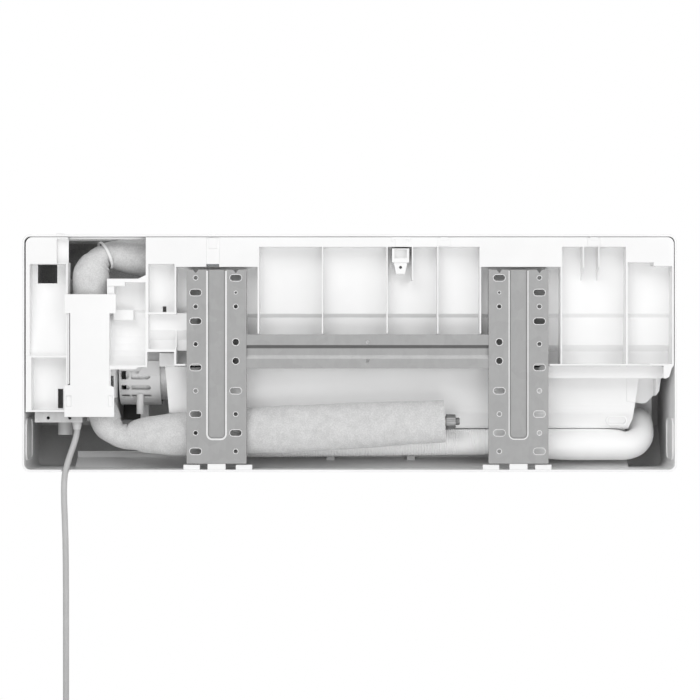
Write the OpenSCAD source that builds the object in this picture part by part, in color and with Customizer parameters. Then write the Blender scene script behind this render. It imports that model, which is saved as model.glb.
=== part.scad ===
// Indoor unit of a wall-mounted split air conditioner, with its wall plate, pipes, drain hose and lead.
// Origin: middle of the wall plate's four large holes, on the wall face. +X right seen from the wall side,
// +Y from the wall into the room, +Z up.

/* [Unit] */
// Width of the casing
unit_w = 800; // [780:5:860]
// Height of the casing
unit_h = 290; // [280:2:310]
// Depth from the wall to the front panel's crown
unit_d = 198; // [192:1:220]
// Wall of the casing and the front panel
wall = 2.5; // [2:0.1:3]
// Corner radius of the casing seen from the wall
corner_r = 10; // [6:1:16]
// Distance from the unit's middle to the wall plate's middle
plate_off = 22; // [10:1:30]
// Distance that the unit's middle lies below the wall plate's middle
plate_low = 2; // [0:1:4]
// Gap between the front panel and the casing
panel_gap = 1; // [0.6:0.1:2]

/* [Wall plate] */
// Sheet thickness of the wall plate
sheet = 1.2; // [0.8:0.1:1.5]
// Width of each upright
upright_w = 73; // [70:1:78]
// Height of each upright
upright_h = 237; // [230:1:240]
// Depth of the folded edges
flange_d = 9; // [7:0.5:12]
// Half the distance between the two uprights
upright_gap = 148; // [144:1:152]
// Distance between the inner hole columns
hole_span = 322; // [316:1:328]
// Distance between the outer hole columns
outer_span = 420; // [412:1:426]
// Height between the large holes
hole_rise = 23; // [20:0.5:26]
// Radius of the large holes
big_r = 4; // [3:0.1:4.5]
// Radius of the screw holes
screw_r = 2.6; // [2:0.1:3.2]
// Radius of the slots' round ends
slot_r = 3.8; // [3:0.1:4.2]
// End-to-end length of the slots
slot_l = 14.2; // [12:0.1:16]
// Depth of the pressed channels
press_d = 3; // [2:0.5:5]

/* [Chassis] */
// Skin and rib thickness of the rear chassis
skin = 2.2; // [1.8:0.1:2.6]
// Distance of the chassis back from the wall
chassis_y = 3; // [2.5:0.5:4]
// Depth of the rear pockets above the step
pocket_d = 31; // [26:1:34]
// Depth of the chassis edge walls
edge_d = 56; // [48:1:60]

/* [Air path] */
// Radius of the cross-flow fan
fan_r = 42; // [38:1:43]
// Gap between the fan and the duct
fan_gap = 6; // [5:0.5:8]
// Number of fan blades
blades = 30; // [24:1:34]
// Number of fan sections
fan_cells = 6; // [4:1:8]
// Distance between swing vanes
vane_pitch = 60; // [54:1:64]

/* [Pipes] */
// Width of the foam sleeve round the pipes
foam_w = 44; // [40:1:46]
// Outside radius of the larger pipe
gas_r = 6.35; // [4.76:0.01:6.35]
// Outside radius of the smaller pipe
liquid_r = 3.18; // [3:0.01:3.5]
// Outside radius of the drain hose
hose_r = 16.5; // [14:0.5:17]
// Number of ribs on the drain hose
hose_ribs = 100; // [60:10:180]

/* [Mains lead] */
// Diameter of the mains lead
cord_d = 7.6; // [6.5:0.1:8]
// Gap between the turns of the stored lead
cord_gap = 1; // [0.8:0.1:1.4]
// Outer mid-line radius of the stored lead
coil_r = 48.5; // [46:0.5:52]

/* [Hidden] */
$fn = 48;

// Edges of the casing, measured from the wall plate's middle
x_left = -unit_w / 2 - plate_off;
x_right = unit_w / 2 - plate_off;
z_top = unit_h / 2 - plate_low;
z_low = -unit_h / 2 - plate_low;
rear_y = 1;
face_y = unit_d - 27;
slack = 0.3;
run_gap = 0.05;

// Distances inwards from the four edges
function lx(d) = x_left + d;
function rx(d) = x_right - d;
function tz(d) = z_top - d;
function bz(d) = z_low + d;

// A box between two corners
module bx(x0, x1, y0, y1, z0, z1) translate([x0, y0, z0]) cube([x1 - x0, y1 - y0, z1 - z0]);
// Rods along the three axes
module rod_x(x0, x1, y, z, r) translate([x0, y, z]) rotate([0, 90, 0]) cylinder(h = x1 - x0, r = r);
module rod_y(x, y0, y1, z, r) translate([x, y0, z]) rotate([-90, 0, 0]) cylinder(h = y1 - y0, r = r);
module rod_z(x, y, z0, z1, r) translate([x, y, z0]) cylinder(h = z1 - z0, r = r);
// An outline in Y and Z, drawn out along X
module along_x(x0, x1, pts)
  translate([x0, 0, 0]) rotate([90, 0, 90]) linear_extrude(x1 - x0) polygon(pts);
// A flat shape in X and Z, drawn out along Y
module along_y(y0, y1) translate([0, y1, 0]) rotate([90, 0, 0]) linear_extrude(y1 - y0) children();
// A rectangle with round corners
module round_rect(x0, x1, z0, z1, r) {
  translate([x0 + r, z0]) square([x1 - x0 - 2 * r, z1 - z0]);
  translate([x0, z0 + r]) square([x1 - x0, z1 - z0 - 2 * r]);
  for (x = [x0 + r, x1 - r], z = [z0 + r, z1 - r]) translate([x, z]) circle(r);
}
// A slot with round ends that lies along X
module slot_2d(x, z, length, r) {
  translate([x - length / 2 + r, z - r]) square([length - 2 * r, 2 * r]);
  for (s = [-1, 1]) translate([x + s * (length / 2 - r), z]) circle(r);
}
// Points of a curve with two pulls
function curve(a, b, c, d, n) = [for (i = [0:n]) let (t = i / n, u = 1 - t)
  a * u * u * u + 3 * b * u * u * t + 3 * c * u * t * t + d * t * t * t];

// Tubes swept along a route: a is the half width across it and b the half depth
function unit(v) = v / norm(v);
function heading(p, i) = unit(p[min(i + 1, len(p) - 1)] - p[max(i - 1, 0)]);
function ring(c, t, a, b, n, ref) = let (u = unit(cross(t, ref)), w = cross(u, t))
  [for (k = [0:n - 1]) c + a * cos(360 * k / n) * u + b * sin(360 * k / n) * w];
function side_faces(m, n, from, flip) = [for (i = [0:m - 2], k = [0:n - 1])
  let (p = from + i * n + k, q = from + i * n + (k + 1) % n)
  each flip ? [[p, q + n, q], [p, p + n, q + n]] : [[p, q, q + n], [p, q + n, p + n]]];
module tube(path, a, b, n, ref = [0, 1, 0]) {
  m = len(path);
  pts = [for (i = [0:m - 1]) each ring(path[i], heading(path, i), a[i], b[i], n, ref)];
  ends = [for (k = [1:n - 2]) each [[0, k + 1, k], [(m - 1) * n, (m - 1) * n + k, (m - 1) * n + k + 1]]];
  polyhedron(pts, concat(side_faces(m, n, 0, false), ends));
}
module sleeve(path, a, b, bore, ai, bi, n, ref = [0, 1, 0]) {
  s = len(path) * n;
  pts = [
    for (i = [0:len(path) - 1]) each ring(path[i], heading(path, i), a[i], b[i], n, ref),
    for (i = [0:len(bore) - 1]) each ring(bore[i], heading(bore, i), ai, bi, n, ref)
  ];
  last = s - n;
  inner = s + (len(bore) - 1) * n;
  ends = [for (k = [0:n - 1]) let (q = (k + 1) % n) each [
    [k, s + q, q], [k, s + k, s + q], [last + k, last + q, inner + q], [last + k, inner + q, inner + k]
  ]];
  polyhedron(pts, concat(side_faces(len(path), n, 0, false), side_faces(len(bore), n, s, true), ends));
}
function same(v, n) = [for (i = [1:n]) v];

// Casing

out_y = 131.5;
out_z = bz(51);
duct_x0 = lx(200);
duct_x1 = rx(58);
grille_x0 = lx(22);
grille_x1 = rx(22);
grille_y0 = 18;
grille_y1 = 138;
filter_y = 146;
rail_y = 92;
filter_t = 4;
filter_x0 = duct_x0 - 14;
filter_x1 = duct_x1 + 30;
notch_x = lx(52.7);
notch_y = 8;
lead_y = 6;
screw_y = out_y - 20;
function screw_xs() = [duct_x0 + 14, 55, duct_x1 - 12];
knock_z = bz(39);
knock_h = 1.5;
button_x = lx(98);
button_z = -60;
button_r = 4;
module casing_outer() intersection() {
  along_x(x_left, x_right, [[rear_y, z_low], [rear_y, z_top], [face_y - 11, z_top],
    [face_y, z_top - 11], [face_y, out_z], [out_y, z_low]]);
  along_y(0, face_y + 1) round_rect(x_left, x_right, z_low, z_top, corner_r);
}
module casing_inner() intersection() {
  along_x(x_left, x_right, [[-1, z_low + wall], [-1, z_top - wall], [face_y - 12, z_top - wall],
    [face_y - wall, z_top - 12], [face_y - wall, out_z + wall * 0.36],
      [out_y - wall * 0.48, z_low + wall]]);
  along_y(-1, face_y) round_rect(x_left + wall, x_right - wall, z_low + wall, z_top - wall,
    corner_r - wall);
}
// Raised outline of a pipe knock-out on a side wall
module knock_out(x0, x1) difference() {
  along_side(x0, x1) round_rect(14, 74, knock_z - 26, knock_z + 26, 12);
  along_side(x0 - 1, x1 + 1) round_rect(16, 72, knock_z - 24, knock_z + 24, 10);
}
module along_side(x0, x1) translate([x0, 0, 0]) rotate([90, 0, 90]) linear_extrude(x1 - x0) children();
module casing() color("white") {
  difference() {
    casing_outer();
    casing_inner();
    bx(grille_x0, grille_x1, grille_y0, grille_y1, z_top - 5, z_top + 1);
    bx(filter_x0, filter_x1, filter_y - slack, filter_y + filter_t + slack, z_top - 5, z_top + 1);
    bx(filter_x0 + 2, filter_x1 - 2, face_y - 4, face_y + 1, 22, tz(17));
    along_x(duct_x0 - skin - 3, duct_x1 + skin + 3, [[out_y - 1.5, z_low - 1], [out_y - 1.5, z_low + 6],
      [face_y - 6, out_z + 1], [face_y + 1, out_z + 1], [face_y + 1, z_low - 1]]);
    // Notch for the mains lead
    bx(notch_x - cord_d / 2 - 1, notch_x + cord_d / 2 + 1, 0, notch_y + cord_d / 2 + 1, z_low - 1,
      z_low + wall + 1);
    for (x = screw_xs()) {
      rod_z(x, screw_y, z_low - 1, z_low + wall + 1, 2.1);
      rod_z(x, screw_y, z_low - 1, z_low + 1.6, 3.8);
    }
    rod_y(button_x, face_y - 5, face_y + 1, button_z, button_r + run_gap);
  }
  knock_out(x_left + wall, x_left + wall + knock_h);
  knock_out(x_right - wall - knock_h, x_right - wall);
  // Snaps and latches along the rear edges
  for (x = [lx(46), lx(232)]) along_x(x - 5, x + 5, [[2, z_top], [9, z_top], [6, z_top + 1.6]]);
  for (s = [-1, 1]) {
    for (x = [plate_edge - 6, plate_in + 3]) bx(s * x - 10, s * x + 10, 2, 9, z_low + wall, bz(8.5));
    bx(s * plate_mid - 11, s * plate_mid + 11, 0.6, 12, z_low + wall, plate_z0 - slack);
  }
  // Ears that hold the front panel's pins
  for (x = hinge_xs()) difference() {
    union() {
      rod_x(x - 3, x + 3, hinge_y, hinge_z, 4);
      bx(x - 3, x + 3, face_y - 9, hinge_y, hinge_z - 4, hinge_z - 1);
    }
    rod_x(x - 4, x + 4, hinge_y, hinge_z, hinge_r + run_gap);
  }
  // Rail along the floor behind the air outlet, with a slope before it
  along_x(lx(58), duct_x1 + 6, [[rail_y - 30, z_low + wall - 0.1], [rail_y - 3, bz(13.5)],
    [rail_y, bz(13.5)],
    [rail_y, bz(20.5)], [rail_y - 3, bz(20.5)], [rail_y - 3, bz(21.8)], [rail_y + 2, bz(21.8)],
    [rail_y + 2, z_low + wall - 0.1]]);
  for (x = [-46, 55]) bx(x - 5, x + 5, rail_y - 10, rail_y, z_low + wall, bz(16));
}
module intake_grille() color("white") {
  c = slack;
  difference() {
    bx(grille_x0 + c, grille_x1 - c, grille_y0 + c, grille_y1 - c, z_top - wall, z_top);
    for (i = [0:8], j = [0:9]) {
      w = (grille_x1 - grille_x0 - 24) / 10;
      h = (grille_y1 - grille_y0 - 12) / 9;
      bx(grille_x0 + 12 + j * w + 2, grille_x0 + 12 + (j + 1) * w - 2,
        grille_y0 + 6 + i * h + 2, grille_y0 + 6 + (i + 1) * h - 2, z_top - 5, z_top + 1);
    }
  }
  // Rim that hooks under the casing's edge
  difference() {
    bx(grille_x0 - 3, grille_x1 + 3, grille_y0 - 3, grille_y1 + 3, z_top - 2 * wall - c, z_top - wall - c);
    bx(grille_x0 + 3, grille_x1 - 3, grille_y0 + 3, grille_y1 - 3, z_top - 9, z_top);
  }
  for (x = [grille_x0 + c, grille_x1 - c - 2.7]) bx(x, x + 2.7, grille_y0 + c, grille_y1 - c,
    z_top - 2 * wall, z_top);
  for (y = [grille_y0 + c, grille_y1 - c - 2.7]) bx(grille_x0 + c, grille_x1 - c, y, y + 2.7,
    z_top - 2 * wall, z_top);
}

// Front panel

panel_back = face_y + panel_gap;
hinge_y = panel_back + 4.5;
hinge_z = tz(8.5);
hinge_r = 1.8;
function hinge_xs() = [lx(30), rx(30)];
panel_low = bz(48);
function panel_crown(k) = concat(
  curve([panel_back + 2.5, z_top - k], [unit_d - 12, z_top - k], [unit_d - 3 - k, tz(18)],
    [unit_d - 2 - k, tz(48)], 8),
  curve([unit_d - k, 45], [unit_d + 0.2 - k, 0], [unit_d - 1 - k, -50], [unit_d - 5 - k, panel_low + k], 6)
);
module front_panel() color("white") {
  side_gap = 0.5;
  difference() {
    along_x(x_left + side_gap, x_right - side_gap,
      concat(panel_crown(0), [[panel_back, panel_low], [panel_back, hinge_z - 4.5]]));
    along_x(x_left + side_gap + wall, x_right - side_gap - wall,
      concat(panel_crown(wall), [[face_y - 1, panel_low + wall], [face_y - 1, z_top - wall]]));
    bx(lens_x - lens_w / 2, lens_x + lens_w / 2, unit_d - 12, unit_d + 2, lens_z - 9, lens_z + 9);
  }
  // Hinge arms with their pins
  for (x = hinge_xs(), s = [-1, 1]) {
    bx(x + s * 6 - 2, x + s * 6 + 2, hinge_y - 2, hinge_y + 8, hinge_z - 3, z_top - wall + 0.4);
    rod_x(x + s * 4 - 3.4, x + s * 4 + 3.4, hinge_y, hinge_z, hinge_r);
  }
}
lens_x = lx(98);
lens_w = 60;
lens_z = -70;
module display_lens() color("dimgray")
  bx(lens_x - lens_w / 2 + slack, lens_x + lens_w / 2 - slack, unit_d - 6, unit_d - 3.2,
    lens_z - 9 + slack, lens_z + 9 - slack);

// Wall plate

plate_z1 = 100;
plate_z0 = plate_z1 - upright_h;
outer_x = outer_span / 2;
inner_x = hole_span / 2;
// Both edges of an upright leave a rim beside the hole columns
plate_in = min(upright_gap, inner_x - 13);
plate_edge = max(upright_gap + upright_w, outer_x + 11);
plate_mid = (plate_in + plate_edge) / 2;
press_mid = (inner_x + outer_x) / 2 - 1;
press_half = 9.2;
press_x0 = press_mid - press_half;
press_x1 = press_mid + press_half;
press_low = -105;
press_slope = 2.4;
// Holes of one upright: height and kind, 0 slot, 1 screw hole, 2 large hole, 3 pilot hole
outer_rows = [[90, 1], [72, 0], [55, 1], [37, 0], [9, 1], [-19.5, 0], [-48, 1], [-76.5, 0], [-99.5, 1],
  [-122, 0]];
inner_rows = [[90, 0], [72, 3], [55, 1], [hole_rise / 2, 2], [-hole_rise / 2, 2], [-48, 0], [-76.5, 1],
  [-99.5, 0], [-122, 1]];
module plate_hole(x, row)
  if (row[1] == 0) slot_2d(x, row[0], slot_l, slot_r);
  else translate([x, row[0]]) circle(row[1] == 1 ? screw_r : row[1] == 2 ? big_r : 1.6);
// Pressed channel with sloping walls; grow makes its outside
module press(y0, y1, grow) hull() {
  for (x = [press_x0, press_x1], z = [press_low, plate_z1 + 2 * corner_press]) {
    k = [x == press_x0 ? corner_press : -corner_press, z == press_low ? corner_press : -corner_press];
    translate([x + k[0], y0, z + k[1]]) rotate([-90, 0, 0])
      cylinder(h = y1 - y0, r1 = corner_press + grow + press_slope, r2 = corner_press + grow);
  }
}
corner_press = 4;
module upright() color("darkgray") {
  x0 = plate_in;
  x1 = plate_edge;
  difference() {
    union() {
      along_y(0, sheet) difference() {
        translate([x0, plate_z0]) square([x1 - x0, upright_h]);
        // Notches in the top edge
        for (x = [inner_x, outer_x]) polygon([[x - 4, plate_z1 + 1], [x + 4, plate_z1 + 1],
          [x, plate_z1 - 4.3]]);
      }
      intersection() {
        press(0, press_d + sheet, sheet);
        bx(x0, x1, 0, press_d + 2 * sheet, plate_z0, plate_z1);
      }
      // Folded edges
      bx(x0, x0 + sheet, 0, flange_d, plate_z0, 24 - 3);
      bx(x0, x0 + sheet, 0, flange_d, 24, plate_z1 - 2);
      bx(x0, x0 + sheet, 0, flange_d, plate_z0, -24);
      bx(x1 - sheet, x1, 0, flange_d, plate_z0, plate_z1 - 2);
      bx(x0, x1, 0, flange_d - 2, plate_z0, plate_z0 + sheet);
    }
    press(-0.01, press_d, 0);
    along_y(-1, sheet + 1) {
      for (row = outer_rows) plate_hole(outer_x, row);
      for (row = inner_rows) plate_hole(inner_x, row);
    }
    // Way in for the cross bar
    bx(x0 - 1, x0 + sheet + 0.1, sheet, flange_d + 1, -bar_h / 2 - slack, bar_h / 2 + slack);
  }
}
bar_h = 41.5;
module plate_left() mirror([1, 0, 0]) upright();
module plate_right() upright();
module plate_bar() color("darkgray") {
  y0 = sheet;
  y1 = sheet + press_d;
  h = bar_h / 2;
  x1 = press_x0 - press_slope - sheet - slack;
  difference() {
    along_x(-x1, x1, [[y0, h], [y0, 8], [y1, 4.4], [y1, -4.6], [y0, -8.4], [y0, -h],
      [y0 + sheet, -h], [y0 + sheet, -8.4 - sheet * 0.4], [y1 + sheet, -4.6 - sheet * 0.4],
      [y1 + sheet, 4.4 + sheet * 0.4], [y0 + sheet, 8 + sheet * 0.4], [y0 + sheet, h]]);
    for (z = [-hole_rise / 2, hole_rise / 2]) {
      rod_y(0, 0, flange_d, z, 2.3);
      for (s = [-1, 1]) rod_y(s * inner_x, 0, flange_d, z, big_r + 0.6);
    }
  }
}

// Rear chassis

main_z0 = -17.5;
leg_x1 = lx(55.5);
leg_z0 = bz(73);
trough_x1 = lx(103.5);
trough_y = 54;
mid_x1 = lx(151.5);
open_z0 = tz(54);
step_z1 = 46.5;
step_z0 = 42;
// Floor of the pockets as points in Y and Z, from the top down
function deep_floor(top) = [[pocket_d, top], [pocket_d, step_z1], [pocket_d + 5, step_z0],
  [pocket_d + 5, 8],
  [pocket_d + 10, 0], [pocket_d + 10, main_z0 + skin]];
side_curve = curve([33, 48], [33, 22], [24, -6], [chassis_y + 2, -17], 8);
pockets = [
  [lx(9), leg_x1 - skin, [[30, tz(36)], [30, tz(59)], [9, -5]]],
  [lx(11), leg_x1 - skin, [[24, -7.5], [24, leg_z0 + skin]]],
  [lx(42), lx(58) - skin, [[12, tz(3) - skin], [12, tz(35)]]],
  [trough_x1 + skin, mid_x1 - skin / 2, [[30, tz(58.5)], [30, 51], each side_curve]],
  [lx(154), lx(186), [[24, tz(36)], [24, 48]]],
  [lx(154), lx(186), [[16, 45.5], [16, 26], [24, 14], [24, 3]]],
  [-plate_edge - 13, -plate_in + 13.5, deep_floor(tz(39.5))],
  [-plate_in + 15.5, plate_in - 11, deep_floor(tz(15))],
  [plate_in - 9, plate_edge + 15, deep_floor(tz(39.5))],
  [plate_edge + 17, rx(62), deep_floor(tz(15))],
  [rx(59.5), rx(28), deep_floor(tz(34))],
  [rx(28.5), rx(5.5), deep_floor(tz(38.5))]
];
function floor_box(p, grow) = let (n = len(p[2]), f = p[2]) concat(
  [[grow > 0 ? chassis_y : -1, f[0][1] + grow]],
  [for (i = [0:n - 1]) [f[i][0] + grow, f[i][1] + (i == 0 ? grow : i == n - 1 ? -grow : 0)]],
  [[grow > 0 ? chassis_y : -1, f[n - 1][1] - grow]]
);
module chassis_rib(x, z0, z1, t = 1.6)
  bx(x - t / 2, x + t / 2, chassis_y, pocket_d + 6, z0, z1);
module chassis() color("whitesmoke") {
  left = lx(wall + 1.5);
  right = rx(wall + 0.7);
  difference() {
    union() {
      // Skin that faces the wall
      along_y(chassis_y, chassis_y + skin) {
        difference() {
          round_rect(left, right, main_z0 - 30, tz(3), 8.5);
          translate([leg_x1 - 1, main_z0 - 40]) square([unit_w, 40]);
          translate([left - 1, main_z0 - 40]) square([5, 40]);
        }
        translate([left, leg_z0]) square([leg_x1 - left, -leg_z0]);
        translate([trough_x1, leg_z0]) square([skin * 2, -leg_z0]);
        polygon([[trough_x1, -22], [lx(138), -22], [mid_x1, -11], [mid_x1, 0], [trough_x1, 0]]);
        polygon([[rx(16), main_z0 + 1], [right, main_z0 + 1], [rx(6), -21], [rx(9), -31], [rx(13), -33],
          [rx(16), -33]]);
      }
      // Edge walls
      bx(left + 8, right - 8, chassis_y, grille_y0 - 4, tz(3) - skin, tz(3));
      bx(left, left + skin, chassis_y, edge_d, leg_z0, tz(12));
      bx(right - skin, right, chassis_y, edge_d, main_z0, tz(12));
      bx(left, leg_x1, chassis_y, edge_d, leg_z0, leg_z0 + skin);
      bx(lx(188), right, pocket_d - 6, pocket_d + 10 + skin, main_z0, main_z0 + skin);
      for (p = pockets) along_x(p[0] - skin, p[1] + skin, floor_box(p, skin));
      // Trough for the pipes
      bx(leg_x1 - skin, trough_x1 + skin, chassis_y, trough_y + skin, -38, open_z0);
    }
    for (p = pockets) along_x(p[0], p[1], floor_box(p, 0));
    // Way in for the pipes, with its bevelled corner, and the trough below it
    along_y(-1, edge_d + 1) polygon([[leg_x1, open_z0 - 1], [trough_x1, open_z0 - 1], [trough_x1, open_z0],
      [mid_x1 - 10, open_z0], [mid_x1 - 0.7, open_z0 + 4.5], [mid_x1 - 0.7, tz(2)], [leg_x1, tz(2)]]);
    bx(leg_x1, trough_x1, -1, trough_y, -47, open_z0 + 1);
    // Holes right through
    bx(lx(15.5), lx(39.5), -1, 40, tz(59), tz(36));
    bx(lx(41), lx(47.5), -1, 40, leg_z0 + 4, leg_z0 + 28);
    bx(lx(170), lx(174.5), -1, 40, 48.5, 55.5);
    bx(rx(46), rx(33), -1, 40, main_z0 + 1.5, main_z0 + 5);
    bx(trough_x1 + 5, trough_x1 + 7.5, -1, 11, tz(72), tz(64.5));
    // Room for the uprights, the cross bar and the motor end of the air path
    plate_half = (plate_edge - plate_in) / 2 + 1.5;
    for (s = [-1, 1]) bx(s * plate_mid - plate_half, s * plate_mid + plate_half, -1, flange_d + slack,
      main_z0 - 5, plate_z1 + 1);
    bx(-plate_in, plate_in, -1, sheet + press_d + sheet + slack, -bar_h / 2 - 1, bar_h / 2 + 1);
    // Dark slot over the left upright's hook
    bx(-press_x1 - 3.6, -press_x0 - 6.1, -1, pocket_d, plate_z1 + 3.6, plate_z1 + 7);
    bx(lx(152.5), lx(185.5), -1, edge_d, main_z0 - 5, -0.6);
    // Way between the low pocket and the left upright
    bx(lx(186) - 0.1, -plate_edge - 12.9, -1, 16, 5, 45.5);
    // Notch for the casing's snap over the left upright
    bx(lx(225), lx(241), -1, chassis_y + 1, tz(38), tz(3.5));
  }
  // Ribs in the pockets
  for (x = [-55, 24, 86]) chassis_rib(x, bar_h / 2 + 1, tz(15));
  chassis_rib(55, 87, tz(15));
  for (x = [plate_edge + 43, plate_edge + 62]) {
    along_x(x - 0.8, x + 0.8, [[chassis_y, tz(15)], [pocket_d + 1, tz(15)], [pocket_d + 1, tz(56)],
      [chassis_y, tz(40)]]);
  }
  // Seats behind the folded edges of the wall plate
  for (s = [-1, 1], x = [plate_in + 2, plate_edge - 2])
    bx(s * x - 1.5, s * x + 1.5, flange_d + slack, pocket_d + 6, 4, tz(42));
  // Lip behind the wall plate's top edge
  for (s = [-1, 1])
    bx(s * press_mid - 9, s * press_mid + 9, press_d + sheet + slack, pocket_d, plate_z1 - 12,
      plate_z1 - 1);
  along_x(lx(186), -plate_edge + 12, [[16, 47], [16, 26], [24, 14], [24, 1], [26.2, 1], [26.2, 14],
    [18.2, 26], [18.2, 47]]);
  // Ledge and step beside the pipe trough
  bx(trough_x1, trough_x1 + 22, chassis_y - 1, chassis_y + 9, open_z0 - 9, open_z0);
  bx(trough_x1 + skin, trough_x1 + 8.5, chassis_y + 1, 32, 50, tz(56));
  bx(trough_x1 + 6.5, trough_x1 + 31, 18, 35, 38.5, 51);
  // Screw post in the middle
  along_y(chassis_y - 1, 14) polygon([[29, tz(3)], [53, tz(3)], [53, tz(8)], [50, tz(8)], [50, tz(6)],
    [47, tz(6)], [47, tz(15)],
    [34, tz(15)], [34, tz(6)], [32, tz(6)], [32, tz(8)], [29, tz(8)]]);
  difference() {
    union() {
      bx(30, 51, chassis_y + 1, pocket_d + 1, tz(34), tz(17));
      along_y(chassis_y + 3, pocket_d + 1) polygon([[32, tz(34)], [49, tz(34)], [46, tz(48)],
        [35, tz(48)]]);
    }
    bx(33, 48, -1, 12, tz(29), tz(18));
    rod_y(40.5, 0, 20, tz(40), 1.8);
  }
  // Clips in the top band
  for (x = [94, 277]) {
    bx(x - 8, x + 8, chassis_y - 1, chassis_y, tz(14), tz(4));
    bx(x - 5, x + 5, chassis_y - 1.2, chassis_y, tz(7), tz(3));
  }
  bx(lx(228), lx(238), chassis_y, chassis_y + 1.6, tz(17), tz(4));
  // Bracket beside the fan motor
  bx(trough_x1 + 6, trough_x1 + 8.4, 24, edge_d - 6, -57, -21);
  bx(trough_x1 + 1, trough_x1 + 8.4, 22, 24, -30, -21);
}
module pipe_cover() color("white") {
  y0 = chassis_y - skin - 0.1;
  y1 = chassis_y - 0.1;
  x0 = leg_x1 + 3;
  x1 = trough_x1 + 3;
  cover_top = tz(73);
  cover_low = bz(67);
  difference() {
    along_y(y0, y1) polygon([[x0 - 7, cover_top], [x1 + 8, cover_top], [x1 + 8, cover_top - 23.5],
      [x1, cover_top - 23.5],
      [x1, -41], [x1 + 6, -44], [x1 + 6, cover_low], [x0 - 7, cover_low], [x0 - 7, -41], [x0, -41],
      [x0, cover_top - 23.5], [x0 - 7, cover_top - 23.5]]);
    for (x = [[x0 - 5, x0 + 1.5], [x1 - 1.5, x1 + 4]]) bx(x[0], x[1], y0 - 1, y0 + 1.7, cover_low + 13,
      cover_low + 26);
  }
  // Lips that locate the cover in the trough
  for (x = [leg_x1 + slack, trough_x1 - slack - 1.6])
    bx(x, x + 1.6, y1, y1 + 4.5, -40, cover_top - 4);
}

// Pipes, sleeves and drain hose

// Heights above the trough follow the casing's top, and those below it the casing's floor
function rise(z) = 66 + (z - 66) * (tz(28) - 66) / 49;
function sink(z) = -30 + (z + 30) * (-30 - bz(40.5)) / 76.5;
upper_route = [[lx(164), 54, rise(115)], [lx(147), 52, rise(115.5)], [lx(132), 49, rise(117)],
  [lx(119), 46, rise(119)],
  [lx(110), 44, rise(120.5)], [lx(102.5), 42, rise(121)], [lx(94), 39, rise(117)],
    [lx(86.5), 36, rise(107.5)],
  [lx(81.5), 32.5, rise(95.5)], [lx(80), 31.5, rise(82)], [lx(80.5), 31, rise(66)], [lx(80.5), 31, 40],
  [lx(80.5), 31, 0], [lx(80.5), 31, -29.7]];
strap_at = 5;
upper_half = [24, 23.5, 22.2, 20.2, 18.5, 15, 15, 20, 23, 22, 21.5, 21.5, 21.5, 21.5];
upper_deep = [21.5, 21.5, 21.5, 21, 20, 19, 19, 21, 21.5, 21.5, 21.5, 21.5, 21.5, 21.5];
lower_route = [[lx(80.5), 31, -30], [lx(80.5), 31, sink(-36)], [lx(82.5), 31, sink(-47)],
  [lx(87), 30.5, sink(-60)],
  [lx(96.5), 30, sink(-76)], [lx(102.4), 29.5, sink(-91.4)], [lx(113.8), 29, sink(-101.1)],
    [lx(126), 28.5, sink(-105.3)],
  [lx(140), 28.5, sink(-103.4)], [lx(160), 28.5, sink(-102.7)], [lx(184), 28.5, sink(-102)],
    [-200, 28.5, sink(-100.3)],
  [-150, 28.5, sink(-98)], [-120, 26, sink(-96.5)], [-95, 22.8, sink(-95.3)], [-60, 22.5, sink(-93.7)],
  [30, 22.5, sink(-89)], [86, 22.5, sink(-85.8)], [95, 22.5, sink(-85.8)]];
lower_half = [21.5, 21.5, 21.5, 19.5, 19.5, 18.5, 16, 15.8, 20.5, 24, 26.5, 27.8, 29, 29.3, 29.3, 29,
  27.8, 26.8, 26.5];
lower_deep = [21.5, 21.5, 21.5, 21, 20, 19, 18, 18, 18, 18, 18, 18, 18, 18, 18, 18, 18, 18, 18];
foam_fit = (foam_w - 44) / 2;
pipe_start = [[lx(198), 84, rise(100)], [lx(188), 82, rise(104)], [lx(179), 72, rise(110)],
  [lx(171), 62, rise(114)]];
pipe_end = [[99, 22.5, sink(-85.8)], [104, 22.5, sink(-85.8)]];
nut_y = pipe_end[0][1];
nut_z = pipe_end[0][2];
bore_a = 9;
bore_b = 15.5;
function shift_y(path, d) = [for (p = path) p + [0, d, 0]];
function wider(list, d) = [for (v = list) v + d];
module foam_upper() color("gainsboro")
  sleeve(upper_route, wider(upper_half, foam_fit), wider(upper_deep, foam_fit), upper_route, bore_a,
    bore_b, 20);
module foam_lower() color("gainsboro")
  sleeve(lower_route, wider(lower_half, foam_fit), wider(lower_deep, foam_fit), lower_route, bore_a,
    bore_b, 20);
module foam_tie() color("white") {
  span = upper_route[strap_at + 1] - upper_route[strap_at];
  path = [upper_route[strap_at] + span * 0.4, upper_route[strap_at] + span * 0.72];
  a = upper_half[strap_at] + foam_fit + 2;
  b = upper_deep[strap_at] + foam_fit + 1;
  sleeve(path, same(a + 1.2, 2), same(b + 1.2, 2), path, a, b, 20);
}
module pipe(r, d, reach) {
  path = concat(pipe_start, upper_route, [for (i = [1:len(lower_route) - 1]) lower_route[i]],
    [pipe_end[0] + [reach, 0, 0], pipe_end[1] + [reach, 0, 0]]);
  m = len(path);
  tube(shift_y(path, d), same(r, m), same(r, m), 12);
}
gas_off = -7.5;
liquid_off = 7.5;
module gas_pipe() color("peru") pipe(gas_r, gas_off, 0);
module liquid_pipe() color("peru") pipe(liquid_r, liquid_off, -3);
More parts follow.
